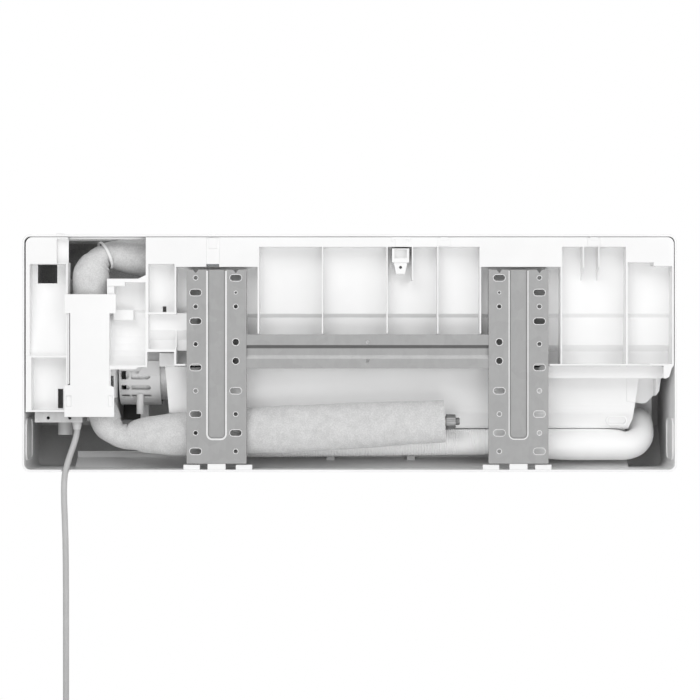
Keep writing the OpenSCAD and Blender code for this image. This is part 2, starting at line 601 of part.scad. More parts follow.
// Flare nut with its stopper
module flare_nut(x, d, r, across) color("goldenrod") difference() {
  union() {
    translate([x, nut_y + d, nut_z]) rotate([0, 90, 0]) cylinder(h = 12, d = across / cos(30), $fn = 6);
    rod_x(x - 4, x + 0.5, nut_y + d, nut_z, across * 0.4);
    rod_x(x + 12, x + 17, nut_y + d, nut_z, across * 0.3);
  }
  rod_x(x - 5, x + 8.2, nut_y + d, nut_z, r + 0.15);
}
module gas_nut() flare_nut(96.2, gas_off, gas_r, 15.5);
module liquid_nut() flare_nut(94, liquid_off, liquid_r, 10.5);

hose_z = bz(31);
hose_route = [[152, 58, hose_z + 3.5], [172, 57.47, hose_z + 3.73], [240, 60.5, hose_z + 0.3],
  [rx(76), 61, hose_z], [rx(58), 62.5, hose_z - 1.5],
  [rx(45.5), 66.5, hose_z + 1], [rx(38), 73, hose_z + 7], [rx(35), 81, hose_z + 13.5],
    [rx(34.5), 89, hose_z + 20.5],
  [rx(34.5), 97, hose_z + 26], [rx(34.5), 104, hose_z + 28], [rx(34.5), 112, hose_z + 28]];
hose_swell = [0.6, 0.4, 3, 3, 1.5, 0.8, 0.3, 0, 0, 0, 0, 0];
module drain_hose() color("white") {
  r = [for (swell = hose_swell) hose_r + swell];
  sleeve(hose_route, r, r, hose_route, hose_r - 4, hose_r - 4, 20, [0.6, -0.6, 0.6]);
}
// Ribbed part of the hose, with two rings for each rib and a plain cuff at both ends
hose_cuff = 8;
module drain_hose_ribbed() color("white") {
  first = [-150, 66, hose_z];
  last = hose_route[0] - [slack, 0, 0];
  x0 = first[0] + hose_cuff;
  step = (last[0] - hose_cuff - 1 - x0) / hose_ribs;
  xs = concat([first[0]], [for (i = [0:2 * hose_ribs]) x0 + i * step / 2], [last[0]]);
  path = [for (x = xs) first + (last - first) * (x - first[0]) / (last[0] - first[0])];
  m = len(path);
  r = [for (i = [0:m - 1]) i == 0 || i == m - 1 ? hose_r - 1 : i % 2 == 1 ? hose_r - 0.6 : hose_r + 0.6];
  sleeve(path, r, r, [path[0], path[m - 1]], hose_r - 4, hose_r - 4, 8);
}

// Air path

// Swing vanes in each of the two sets
vanes = 4;
fan_y = 100;
fan_z = -25;
shaft_r = 4;
fan_x0 = duct_x0 + 8;
fan_x1 = duct_x1 - 8;
vane_fall = 49.4;
vane_foot = [108.5, -115.8];
post_r = 2;
pivot_y = 132;
pivot_z = bz(11.3);
pin_r = 2.5;
coil_x0 = duct_x0 + 4;
coil_x1 = duct_x1 + 4;
scroll_y = fan_y - fan_r - fan_gap - skin;
ledge_y = 22;
ledge_z0 = -33;
function scroll_back(d) = concat(
  [[scroll_y + d, main_z0 - 3 + d / 2]],
  curve([scroll_y + d, -55 + d / 2], [scroll_y + d, -66 + d / 2], [scroll_y + d, -74 + d / 2],
    [scroll_y + 2.4 + d, -78 + d / 2], 5),
  [[62 + d, -94 + d / 2], [66 + d, -96.5 + d / 2]]
);
function scroll(d) = concat(scroll_back(d), [[100 + d, -111 + d / 2], [112 + d, -125 + d / 2],
  [118 + d, -136 + d / 2]]);

function back_to_front(list) = [for (i = [len(list) - 1:-1:0]) list[i]];
module air_duct() color("white") {
  difference() {
    union() {
      along_x(duct_x0 - skin, duct_x1 + skin, concat(scroll(0), back_to_front(scroll(skin))));
      along_x(duct_x1, duct_x1 + skin + 12, concat(scroll_back(0), back_to_front(scroll_back(skin))));
      // Cheeks at both ends
      for (x = [duct_x0 - skin, duct_x1])
        along_x(x, x + skin, concat(scroll(0), [[pivot_y - 6, pivot_z - 6.5], [pivot_y + 4, pivot_z - 5],
          [pivot_y + 8, pivot_z + 8], [143, -104], [143.5, 6], [scroll_y, 6]]));
      // Flange along the lower edge and ledge along the upper edge
      bx(duct_x0 - skin, duct_x1 - 4, 62, 62 + skin, hose_z + hose_r + 4.1, -93);
      along_y(ledge_y, ledge_y + skin) round_rect(plate_edge - 10, rx(12.5), ledge_z0, main_z0 - slack, 4);
      bx(plate_edge - 8, rx(17), ledge_y + 1, scroll_y + 1, ledge_z0, ledge_z0 + skin);
      // Bosses for the casing screws
      for (x = screw_xs()) rod_z(x, screw_y, z_low + wall + slack, -122, 4);
      // Holder of the fan bearing
      along_y(scroll_y - 1, fan_y - 20) polygon([[duct_x1 + skin, ledge_z0], [rx(13.5), ledge_z0],
        [rx(15.5), -49], [rx(19), -54], [rx(25), -60], [rx(29), -64], [rx(34), -65],
          [duct_x1 + skin, -62]]);
      // Block at the motor end
      along_y(34, scroll_y + 1) polygon([[lx(165), -2], [lx(184), -2], [lx(184), -18.5], [lx(165), -18.5]]);
      along_y(36, scroll_y + 1) polygon([[lx(172), -18.5], [duct_x0 + 1, -18.5], [duct_x0 + 1, -76],
        [lx(177), -76]]);
    }
    // Bevelled right edge
    along_y(40, 70) polygon([[rx(41), ledge_z0 - 1], [rx(20), ledge_z0 - 1], [rx(20), -105],
      [rx(56), -105], [rx(48), -84]]);
    rod_x(duct_x0 - skin - 1, duct_x0 + 1, fan_y, fan_z, shaft_r + 2);
    rod_x(duct_x1 - 1, duct_x1 + skin + 1, fan_y, fan_z, bearing_r);
    for (x = [duct_x0 - skin - 1, duct_x1 - 1]) rod_x(x, x + skin + 2, pivot_y, pivot_z, pin_r + run_gap);
    for (x = vane_xs()) at_vane(x) rod_z(0, 0, -5, 5, post_r + run_gap);
    for (x = screw_xs()) rod_z(x, screw_y, z_low, -128, 1.8 + run_gap);
  }
  // Oval rib on the scroll
  along_y(scroll_y + 4, 62) difference() {
    slot_2d(rx(68), -86, 26, 6);
    slot_2d(rx(68), -86, 23, 4.5);
  }
}
bearing_r = 11;
function vane_xs() = [for (s = [-1, 1], i = [0:vanes - 1])
  (duct_x0 + duct_x1) / 2 + s * (vanes * vane_pitch / 2 + 4) + (i - (vanes - 1) / 2) * vane_pitch];
module at_vane(x) translate([x, vane_foot[0], vane_foot[1]]) rotate([-vane_fall, 0, 0]) children();
module vane(n) color("white") at_vane(vane_xs()[n]) {
  bx(-0.8, 0.8, -15, 15, 6, 33);
  rod_z(0, 0, -2.2, 7, post_r);
  rod_z(0, -11, 32, 38.5, 1.2);
  rod_z(0, 0, 0.4, 6.5, 4);
}
module vane_link(first) color("white") {
  x0 = vane_xs()[first];
  x1 = vane_xs()[first + vanes - 1];
  difference() {
    at_vane(x0) bx(-8, x1 - x0 + 8, -15.5, -6.5, 34, 36.5);
    for (i = [0:vanes - 1]) at_vane(vane_xs()[first + i]) {
      bx(-1.75, 1.75, -12.7, -7.9, 30, 40);
    }
  }
}
module louvre() color("white") {
  x0 = duct_x0 + 1.2;
  x1 = duct_x1 - 1.2;
  tail = [pivot_y + 1.6, pivot_z - 7.9];
  lip = [face_y - 0.6, out_z - 1.5];
  along_x(x0, x1, concat(
    curve(tail, tail + [12, 9], lip + [-8, -13], lip, 8),
    curve(lip + [-2.4, 1.4], lip + [-10.4, -11], tail + [9.5, 11.5], tail + [-0.9, 2.8], 8)));
  // Arms that carry the pivot pins
  for (x = [x0, x0 + (x1 - x0) * 0.31, x0 + (x1 - x0) * 0.69, x1 - 3]) {
    along_x(x, x + 3, [tail + [-0.5, 1.5], tail + [16, 17], [pivot_y + 3, pivot_z + 2],
      [pivot_y - 3, pivot_z]]);
    rod_x(x, x + 3, pivot_y, pivot_z, 4);
  }
  for (x = [x0 - 4.2, x1 - 1]) rod_x(x, x + 5.2, pivot_y, pivot_z, pin_r);
}
module louvre_motor() color("silver") {
  x1 = duct_x0 - skin - 1.5;
  y = pivot_y - 5.2;
  z = pivot_z + 4;
  difference() {
    union() {
      rod_x(x1 - 18, x1, y, z, 10);
      bx(x1 - 1.5, x1, y - 17, y + 12, z + 2, z + 9);
    }
    rod_x(x1 - 4, x1 + 1, pivot_y, pivot_z, pin_r + 0.5);
  }
}
module fan_rotor() color("slategray") {
  step = (fan_x1 - fan_x0 - 3) / fan_cells;
  for (i = [0:fan_cells]) rod_x(fan_x0 + i * step, fan_x0 + i * step + 3, fan_y, fan_z, fan_r - 1.5);
  for (k = [0:blades - 1]) translate([fan_x0 + 1, fan_y, fan_z]) rotate([360 * k / blades, 0, 0])
    translate([0, fan_r - 9, -0.6]) rotate([24, 0, 0]) cube([fan_x1 - fan_x0 - 2, 9, 1.2]);
}
module fan_shaft() color("silver") {
  rod_x(fan_x1, duct_x1 + skin + 6, fan_y, fan_z, shaft_r);
  rod_x(duct_x0 - 44, fan_x0, fan_y, fan_z, shaft_r);
}
module fan_bearing() color("dimgray") difference() {
  union() {
    rod_x(duct_x1 - 2, duct_x1 + skin + 5, fan_y, fan_z, bearing_r - 0.1);
    rod_x(duct_x1 + skin, duct_x1 + skin + 5, fan_y, fan_z, bearing_r + 4);
  }
  rod_x(duct_x1 - 3, duct_x1 + skin + 6, fan_y, fan_z, shaft_r + run_gap);
}
motor_x0 = lx(115);
motor_x1 = duct_x0 - skin - 12;
cage_r = 42;
module fan_motor() color("silver") difference() {
  union() {
    rod_x(motor_x0 + 6, motor_x1, fan_y, fan_z, cage_r - 6);
    rod_x(motor_x1, duct_x0 - skin - 4, fan_y, fan_z, 12);
  }
  rod_x(duct_x0 - 46, duct_x0, fan_y, fan_z, shaft_r + run_gap);
}
module cage_slot(x0, x1, turn, width) translate([0, fan_y, fan_z]) rotate([turn, 0, 0]) {
  bx(x0, x1 - width / 2, -cage_r - 3, -cage_r + 9, -width / 2, width / 2);
  rod_y(x1 - width / 2, -cage_r - 3, -cage_r + 9, 0, width / 2 + 0.2);
}
module motor_cover() color("lightgray") {
  x1 = lx(164);
  // Turn, width and ends of the slots, measured from the cover's left end
  rows = [[6.3, 10.5], [29, 7], [47, 4.8]];
  difference() {
    rod_x(motor_x0 - 2.5, x1, fan_y, fan_z, cage_r);
    rod_x(motor_x0, x1 + 1, fan_y, fan_z, cage_r - 2.4);
    for (row = rows) {
      cage_slot(motor_x0 + 0.6, motor_x0 + 10.5, row[0], row[1]);
      cage_slot(motor_x0 + 13, motor_x0 + 37, row[0], row[1]);
    }
    for (turn = [72, 95, 118]) cage_slot(motor_x0 + 14.5, motor_x0 + 37, turn, 4);
    rod_x(motor_x0 - 3, motor_x0 + 1, fan_y, fan_z, 14);
  }
  // Flared bracket at the cover's open end
  along_y(fan_y - cage_r - 0.4, fan_y - cage_r + 2)
    polygon([[lx(134), fan_z - 5], [lx(150), fan_z + 13.5], [x1 - 1, fan_z + 13.5], [x1 - 1, fan_z - 5]]);
  // Peg under the cover and foot on the casing floor
  rod_z(lx(138.5), fan_y - 32, -78, fan_z - 28, 4.5);
  bx(lx(136), lx(146), fan_y + 4, fan_y + 12, z_low + wall + slack, fan_z - cage_r + 4);
  // Pads that hold the cover round the motor
  bx(x1 - 9, x1 - 2, fan_y - 4, fan_y + 4, fan_z + cage_r - 6 + slack, fan_z + cage_r - 1);
  bx(x1 - 9, x1 - 2, fan_y - 4, fan_y + 4, fan_z - cage_r + 1, fan_z - cage_r + 6 - slack);
}

// Evaporator, end plates and pipes

module fin_block(pts) color("lightsteelblue") along_x(coil_x0, coil_x1, pts);
coil_low = 30;
module coil_rear() fin_block([[60, 40], [71, 33], [104, 104], [92, 111]]);
module coil_upper() fin_block([[105, 105], [133, 62], [144, 68], [116, 113]]);
module coil_lower() fin_block([[124, 61], [124, coil_low], [142, coil_low], [142, 66], [133.5, 61]]);
module end_plate(x) color("silver") difference() {
  foot = pan_floor + slack;
  along_x(x, x + sheet, [[58, 38], [70, 30], [108, 97], [121, 62], [121, coil_low - 1],
    [pan_y0 + skin, coil_low - 1],
    [pan_y0 + skin, foot], [pan_y1 - 2.5, foot], [pan_y1 - 2.5, coil_low - 1], [144.5, 70], [118, 117],
      [92, 115]]);
  for (p = tube_rows) rod_x(x - 1, x + sheet + 1, p[0], p[1], tube_r + 0.2);
}
tube_r = 3.5;
tube_rows = [[70, 43], [77, 58], [84, 73], [91, 88], [114, 103], [123, 89], [131, 77], [137, 65],
  [129, 54], [129, 40],
  [137.5, 52], [137.5, 38]];
module end_plate_left() end_plate(coil_x0 - sheet - slack);
module end_plate_right() end_plate(coil_x1 + slack);
// One hairpin joins two tube ends
module hairpin(x, p, q, s) {
  mid = (p + q) / 2;
  r = norm(q - p) / 2;
  translate([x, mid[0], mid[1]]) rotate([atan2(q[1] - p[1], q[0] - p[0]), 0, 0])
    rotate([0, 0, s > 0 ? -90 : 90]) rotate_extrude(angle = 180) translate([r, 0]) circle(tube_r);
}
module return_bends() color("peru") {
  x = coil_x1 + slack + sheet + slack;
  for (i = [0:2:10]) hairpin(x, tube_rows[i], tube_rows[i + 1], 1);
}
module header_pipes() color("peru") {
  x = coil_x0 - sheet - 2 * slack;
  for (i = [1, 5, 7]) hairpin(x, tube_rows[i], tube_rows[i + 1], -1);
}

// Filters

module filter(x0, x1) color("lightblue") {
  y0 = filter_y;
  y1 = filter_y + filter_t;
  z0 = coil_low + 4;
  z1 = z_top - 1;
  cols = 8;
  rows = 4;
  w = (x1 - x0 - 8) / cols;
  h = (z1 - z0 - 8) / rows;
  difference() {
    bx(x0, x1, y0, y1, z0, z1);
    for (i = [0:cols - 1], j = [0:rows - 1])
      bx(x0 + 4 + i * w + 1, x0 + 4 + (i + 1) * w - 1, y0 - 1, y0 + filter_t / 2 - 0.4,
        z0 + 4 + j * h + 1, z0 + 4 + (j + 1) * h - 1);
    for (i = [0:cols - 1], j = [0:rows - 1])
      bx(x0 + 4 + i * w + 1, x0 + 4 + (i + 1) * w - 1, y0 + filter_t / 2 + 0.4, y1 + 1,
        z0 + 4 + j * h + 1, z0 + 4 + (j + 1) * h - 1);
  }
  bx((x0 + x1) / 2 - 18, (x0 + x1) / 2 + 18, y0, y1, z1, z1 + 1);
}
filter_mid = (filter_x0 + filter_x1) / 2;
module filter_left() filter(filter_x0 + slack, filter_mid - 2);
module filter_right() filter(filter_mid + 2, filter_x1 - slack);

pan_y0 = 122;
pan_y1 = 147.5;
pan_floor = 17.2;
tongue_y = 144.6;
module drain_pan() color("white") {
  x0 = duct_x0 + slack;
  x1 = duct_x1 - slack;
  // Trough under the front coil
  along_x(x0, rx(18), [[pan_y0, 26], [pan_y0, 15], [pan_y1, 15], [pan_y1, 26], [pan_y1 - 2, 26],
    [pan_y1 - 2, pan_floor],
    [pan_y0 + 2, pan_floor], [pan_y0 + 2, 26]]);
  // Tongue between the fan and the outlet
  front = face_y - wall - slack;
  bend = tongue_y + 1.6 + (front - tongue_y) * 0.15;
  along_x(x0, x1, [[tongue_y, 15.5], [tongue_y + 1.6, -38], [bend + 1.2, -62], [front, out_z + 3],
    [front, out_z + 5.6],
    [bend + 3, -60.5], [tongue_y + 3.6, -38], [tongue_y + 2.2, 15.5]]);
  for (x = [x0, rx(18) - skin]) bx(x, x + skin, 122, 147.5, 15, 26);
  // Outlet leg down to the drain hose
  leg_low = hose_end[2] - hose_r - 1;
  difference() {
    union() {
      bx(rx(54), rx(16), 122, 146, leg_low, 17);
      rod_y(hose_end[0], hose_end[1] - 7, 123, hose_end[2], hose_r - 4.4);
      rod_y(hose_end[0], hose_end[1] + slack, 123, hose_end[2], hose_r);
    }
    rod_y(hose_end[0], hose_end[1] - 8, 140, hose_end[2], hose_r - 6.4);
    bx(rx(52), rx(18), 124, 144, leg_low + 2, 18);
  }
}
hose_end = hose_route[len(hose_route) - 1];

// Controls

box_x0 = lx(12);
box_x1 = lx(110);
box_y0 = 62;
box_y1 = 150;
box_z0 = leg_z0 - 13;
box_z1 = 62;
tray_x1 = lx(72.3);
lead_exit = [lx(64.5), 24];
module control_box() color("silver") {
  difference() {
    union() {
      bx(box_x0, box_x1, box_y0, box_y1, box_z0, box_z1);
      bx(box_x0 + 2, tray_x1, 12, box_y0 + 1, box_z0, leg_z0 - 0.4);
    }
    bx(box_x0 + 1.5, box_x1 - 1.5, box_y0 + 1.5, box_y1 + 1, box_z0 + 1.5, box_z1 - 1.5);
    bx(box_x0 + 3.5, tray_x1 - 1.5, 13.5, box_y0 + 2, box_z0 + 1.5, leg_z0 + 1);
    along_y(10, 14) for (x = [lx(30.5), lx(57)]) translate([x, box_z0 + 5.5]) circle(2);
    rod_z(lead_exit[0], lead_exit[1], box_z0 - 1, box_z0 + 3, cord_d / 2 + 2.2);
    rod_z(grommet[0], grommet[1], box_z0 - 1, box_z0 + 3, 7);
  }
}
grommet = [lx(48), 44];
module wire_grommet() color("dimgray") difference() {
  union() {
    rod_z(grommet[0], grommet[1], box_z0 - 16, box_z0, 9);
    rod_z(grommet[0], grommet[1], box_z0 - 1, box_z0 + 4, 6.9);
  }
  rod_z(grommet[0], grommet[1], box_z0 - 17, box_z0 + 5, 4.5);
}
module control_box_lid() color("silver") {
  bx(box_x0, box_x1, box_y1 + 0.1, box_y1 + 1.3, box_z0, box_z1);
  bx(box_x0 - 1.5, box_x0 - 0.3, box_y1 - 10, box_y1 + 1.3, box_z0, box_z1);
}
module circuit_board() color("darkgreen") {
  y0 = box_y0 + 8;
  bx(box_x0 + 6, box_x1 - 6, y0, y0 + 1.6, -60, 54);
  for (x = [box_x0 + 12, box_x1 - 12], z = [-54, 48]) rod_y(x, box_y0 + 1.5, y0, z, 3);
  bx(box_x0 + 12, box_x0 + 44, y0 + 1.6, y0 + 28, 16, 44);
  rod_y(box_x1 - 22, y0 + 1.6, y0 + 36, 30, 11);
  rod_y(box_x1 - 22, y0 + 1.6, y0 + 24, 4, 8);
  for (i = [0:3]) bx(box_x0 + 12 + i * 18, box_x0 + 24 + i * 18, y0 + 1.6, y0 + 14, -40, -22);
}
module terminal_block() color("ivory") {
  z0 = box_z0 + 1.5;
  difference() {
    bx(box_x0 + 14, box_x1 - 22, 100, 124, z0, z0 + 16);
    for (i = [0:4]) bx(box_x0 + 18 + i * 13, box_x0 + 28 + i * 13, 106, 125, z0 + 8, z0 + 17);
  }
}
module display_board() color("darkgreen") {
  y1 = face_y - wall;
  bx(lens_x - 34, lens_x + 34, y1 - 7, y1 - 5.4, -88, -50);
  bx(lens_x - 12, lens_x + 12, y1 - 5.4, y1 - 1, -82, -70);
  for (x = [lens_x - 30, lens_x + 30]) rod_y(x, y1 - 5.4, y1, -84, 2.5);
  bx(button_x - 4, button_x + 4, y1 - 5.4, y1 - 3.2, button_z - 4, button_z + 4);
}
module manual_button() color("gainsboro") {
  rod_y(button_x, face_y - wall + 0.3, face_y + 1.2, button_z, button_r);
  rod_y(button_x, face_y - wall - 0.7, face_y - wall - 0.1, button_z, button_r + 1.5);
  rod_y(button_x, face_y - wall - 0.2, face_y - wall + 0.5, button_z, button_r - 0.5);
}
module casing_screws() color("silver")
  for (x = screw_xs()) {
    rod_z(x, screw_y, z_low + 1, z_low + wall + 9, 1.8);
    rod_z(x, screw_y, z_low + 0.3, z_low + 1.5, 3.5);
  }
module room_sensor() color("dimgray") {
  x = coil_x1 + slack + sheet;
  bx(x, x + 8, 97, 105, 103, 111);
  rod_x(x + 7, x + 28, 101, 107, 3);
}

// Mains lead

// Points measured from the lead's way out of the tray and the casing's floor
lead_shape = [[0, 24, 51], [0, 24, 49], [-0.7, 23.3, 44], [-2, 21.6, 38], [-3.9, 19.2, 31.5],
  [-5.9, 16.5, 25],
  [-8, 13.7, 18], [-10, 10.9, 10.5], [-11.8, 8.4, 3], [-13.2, 6.7, -5], [-13.8, 6, -14], [-14, 6, -24],
    [-13.8, 6, -38],
  [-13, 6, -58], [-12.2, 6, -83], [-11.8, 6, -108], [-11.5, 6, -153], [-11.5, 6, -203], [-11.5, 6, -253],
  [-11.5, 6, -293], [-11.5, 6, -335]];
lead_route = [for (p = lead_shape) p + [lead_exit[0], 0, z_low]];
module strain_relief() color("lightgray") {
  low = lead_route[0][2];
  translate([lead_exit[0], lead_exit[1], low]) cylinder(h = box_z0 - 0.1 - low, r1 = cord_d / 2 + 0.8,
    r2 = cord_d / 2 + 2.2);
  rod_z(lead_exit[0], lead_exit[1], box_z0 - 1, box_z0 + 4, cord_d / 2 + 2.1);
}
module power_cord() color("lightgray") {
  m = len(lead_route);
  tube(lead_route, same(cord_d / 2, m), same(cord_d / 2, m), 12);
}
// Stored lead: two turns in, half a turn to climb, two and a half turns out again
coil_pitch = cord_d + cord_gap;
coil_in = 2;
coil_climb = 0.5;
coil_out = 2.5;
coil_ring = 24;
coil_c = [lead_route[len(lead_route) - 1][0] + coil_r, lead_y, lead_route[len(lead_route) - 1][2] - cord_d];
function coil_at(t) = let (
  r = t < coil_in ? coil_r - coil_pitch * t : t < coil_in + coil_climb ? coil_r - coil_pitch * coil_in
    : coil_r - coil_pitch * coil_in + coil_pitch * (t - coil_in - coil_climb) * coil_in / coil_out,
  y = coil_pitch * max(0, min(1, (t - coil_in) / coil_climb)),
  a = 180 + 360 * t)
  coil_c + [r * cos(a), y, r * sin(a)];
coil_turns = coil_in + coil_climb + coil_out;
coil_path = concat([coil_c + [-coil_r, 0, cord_d]],
  [for (i = [0:coil_turns * coil_ring]) coil_at(i / coil_ring)],
  [coil_at(coil_turns) - [0, 0, cord_d], coil_at(coil_turns) - [0, 0, 2 * cord_d]]);
coil_least = min([for (i = [0:len(coil_path) - 1], j = [i + 8:1:len(coil_path) - 1])
  norm(coil_path[i] - coil_path[j])]) - cord_d;
echo(least_gap_of_the_stored_lead = coil_least);
module cord_coil() color("lightgray") {
  m = len(coil_path);
  tube(coil_path, same(cord_d / 2, m), same(cord_d / 2, m), 6);
}
module cord_tie() color("dimgray") {
  z0 = coil_at(coil_in + coil_climb + 0.25)[2] - cord_d / 2 - 1;
  z1 = coil_at(coil_turns - 0.25)[2] + cord_d / 2 + slack;
  half_side = cord_d / 2 * sin(60) + slack;
  y0 = lead_y - half_side;
  y1 = lead_y + half_side + coil_pitch;
  difference() {
    bx(coil_c[0] - 5, coil_c[0] + 5, y0 - 1.2, y1 + 1.2, z0 - 1.2, z1 + 1.2);
    bx(coil_c[0] - 6, coil_c[0] + 6, y0, y1, z0, z1);
  }
}
module plug() color("lightgray") {
  top = coil_path[len(coil_path) - 1];
  half = 13.5;
  translate([top[0], top[1], top[2] - 60]) {
    translate([0, 0, 40]) cylinder(h = 20, r1 = 7, r2 = cord_d / 2 + 1.2);
    intersection() {
      union() {
        translate([0, 0, 8]) cylinder(h = 32.5, r1 = 15, r2 = 9);
        cylinder(h = 8.2, r = 17.5);
      }
      bx(-20, 20, -half, half, -1, 42);
    }
    for (x = [-9.5, 9.5]) translate([x, 0, -19]) cylinder(h = 19.5, r = 2.4);
  }
}

casing();
intake_grille();
front_panel();
display_lens();
chassis();
pipe_cover();
plate_left();
plate_right();
plate_bar();
foam_upper();
foam_lower();
foam_tie();
gas_pipe();
liquid_pipe();
gas_nut();
liquid_nut();
drain_hose();
drain_hose_ribbed();
drain_pan();
air_duct();
fan_rotor();
fan_shaft();
fan_bearing();
fan_motor();
motor_cover();
coil_rear();
coil_upper();
coil_lower();
end_plate_left();
end_plate_right();
return_bends();
header_pipes();
filter_left();
filter_right();
louvre();
louvre_motor();
vane(0);  // vane_a1
vane(1);  // vane_a2
vane(2);  // vane_a3
vane(3);  // vane_a4
vane(4);  // vane_b1
vane(5);  // vane_b2
vane(6);  // vane_b3
vane(7);  // vane_b4
vane_link(0);  // vane_link_a
vane_link(vanes);  // vane_link_b
control_box();
control_box_lid();
circuit_board();
terminal_block();
display_board();
manual_button();
casing_screws();
room_sensor();
wire_grommet();
strain_relief();
power_cord();
cord_coil();
cord_tie();
plug();
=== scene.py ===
# Wall-mounted air conditioner, indoor unit, seen from the side that faces the wall.
import math

import bpy
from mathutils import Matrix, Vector


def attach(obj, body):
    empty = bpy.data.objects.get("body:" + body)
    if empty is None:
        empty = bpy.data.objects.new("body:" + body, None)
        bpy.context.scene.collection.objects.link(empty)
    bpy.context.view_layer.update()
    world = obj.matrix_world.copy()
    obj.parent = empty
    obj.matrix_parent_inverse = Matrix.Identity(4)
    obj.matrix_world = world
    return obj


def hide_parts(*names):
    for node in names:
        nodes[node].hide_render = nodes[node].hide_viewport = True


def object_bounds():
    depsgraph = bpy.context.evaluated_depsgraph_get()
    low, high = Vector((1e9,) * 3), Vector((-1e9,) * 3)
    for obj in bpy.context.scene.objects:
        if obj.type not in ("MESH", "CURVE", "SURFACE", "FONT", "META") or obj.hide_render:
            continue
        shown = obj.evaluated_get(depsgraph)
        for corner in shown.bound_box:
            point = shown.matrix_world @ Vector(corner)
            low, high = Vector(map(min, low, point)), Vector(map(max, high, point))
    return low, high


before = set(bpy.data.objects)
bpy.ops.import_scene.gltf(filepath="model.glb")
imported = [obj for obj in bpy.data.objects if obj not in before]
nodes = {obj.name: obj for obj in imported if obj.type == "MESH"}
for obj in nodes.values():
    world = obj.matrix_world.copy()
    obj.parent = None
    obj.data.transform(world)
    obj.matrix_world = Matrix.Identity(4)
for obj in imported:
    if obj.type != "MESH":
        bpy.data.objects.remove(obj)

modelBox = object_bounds()
scene = bpy.context.scene


# Small tools

def mm(*values):
    return Vector([v / 1000 for v in values])


def deselectAll():
    if bpy.context.object and bpy.context.object.mode != "OBJECT":
        bpy.ops.object.mode_set(mode="OBJECT")
    bpy.ops.object.select_all(action="DESELECT")


def pickOnly(piece):
    deselectAll()
    piece.select_set(True)
    bpy.context.view_layer.objects.active = piece


def settle(piece):  # puts the piece's place into its mesh
    pickOnly(piece)
    bpy.ops.object.transform_apply(location=True, rotation=True, scale=True)
    return piece


def box(name, low, high, round=0.0, steps=2):
    deselectAll()
    low, high = Vector(low) / 1000, Vector(high) / 1000
    bpy.ops.mesh.primitive_cube_add(size=1, location=(low + high) / 2, scale=high - low)
    piece = bpy.context.object
    piece.name = name
    settle(piece)
    if round:
        bevelEdges(piece, round, steps)
    return piece


def rod(name, start, end, radius, sides=32, endRadius=None):
    deselectAll()
    start, end = Vector(start) / 1000, Vector(end) / 1000
    turn = (end - start).to_track_quat("Z", "Y").to_euler()
    bpy.ops.mesh.primitive_cone_add(vertices=sides, radius1=radius / 1000,
        radius2=(radius if endRadius is None else endRadius) / 1000, depth=(end - start).length,
        location=(start + end) / 2, rotation=turn)
    piece = bpy.context.object
    piece.name = name
    return settle(piece)


def applyAll(piece):
    pickOnly(piece)
    for mod in list(piece.modifiers):
        bpy.ops.object.modifier_apply(modifier=mod.name)
    return piece


def bevelEdges(piece, width, steps=2, angle=35):
    mod = piece.modifiers.new("Bevel", "BEVEL")
    mod.width = width / 1000
    mod.segments = steps
    mod.limit_method = "ANGLE"
    mod.angle_limit = math.radians(angle)
    mod.use_clamp_overlap = True
    return applyAll(piece)


def cutAway(piece, *tools):
    for tool in tools:
        mod = piece.modifiers.new("Cut", "BOOLEAN")
        mod.operation = "DIFFERENCE"
        mod.solver = "EXACT"
        mod.object = tool
        applyAll(piece)
        bpy.data.objects.remove(tool)
    return piece


def joinPieces(name, pieces):
    deselectAll()
    for piece in pieces:
        piece.select_set(True)
    bpy.context.view_layer.objects.active = pieces[0]
    bpy.ops.object.join()
    pieces[0].name = name
    return pieces[0]


def smoothByAngle(piece, angle=40):
    pickOnly(piece)
    bpy.ops.object.shade_smooth_by_angle(angle=math.radians(angle))
    return piece


def placeOn(piece, body, slotName, material, *replaced):
    if material:
        piece.data.materials.clear()
        piece.data.materials.append(material)
    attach(piece, body)
    if replaced:
        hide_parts(*replaced)
    return piece


# Camera: straight from behind, as in the photograph

cameraSize = {"place": (-0.0214, -3.0, 0.0018), "lens": 126.3}
deselectAll()
bpy.ops.object.camera_add(location=cameraSize["place"], rotation=(math.pi / 2, 0, 0))
camera = bpy.context.object
camera.data.lens = cameraSize["lens"]
camera.data.sensor_width = 36
camera.data.clip_start, camera.data.clip_end = 0.05, 40
scene.camera = camera
print("camera placed")


# Mains lead: one stretch that hangs from the control box, and its spare length in a coil

leadSize = {"diameter": 7.6, "gap": 1.0, "coilRadius": 48.5,
    "turnsIn": 2, "turnsClimb": 0.5, "turnsOut": 2.5, "turnSteps": 32, "sides": 5}
leadOut = (-357.5, 0, -147)
leadShape = [(0, 24, 51), (0, 24, 49), (-0.7, 23.3, 44), (-2, 21.6, 38), (-3.9, 19.2, 31.5), (-5.9, 16.5, 25),
    (-8, 13.7, 18), (-10, 10.9, 10.5), (-11.8, 8.4, 3), (-13.2, 6.7, -5), (-13.8, 6, -14), (-14, 6, -24),
    (-13.8, 6, -38), (-13, 6, -58), (-12.2, 6, -83), (-11.8, 6, -108), (-11.5, 6, -153), (-11.5, 6, -203),
    (-11.5, 6, -253), (-11.5, 6, -293), (-11.5, 6, -335)]
leadRoute = [tuple(a + b for a, b in zip(leadOut, point)) for point in leadShape]


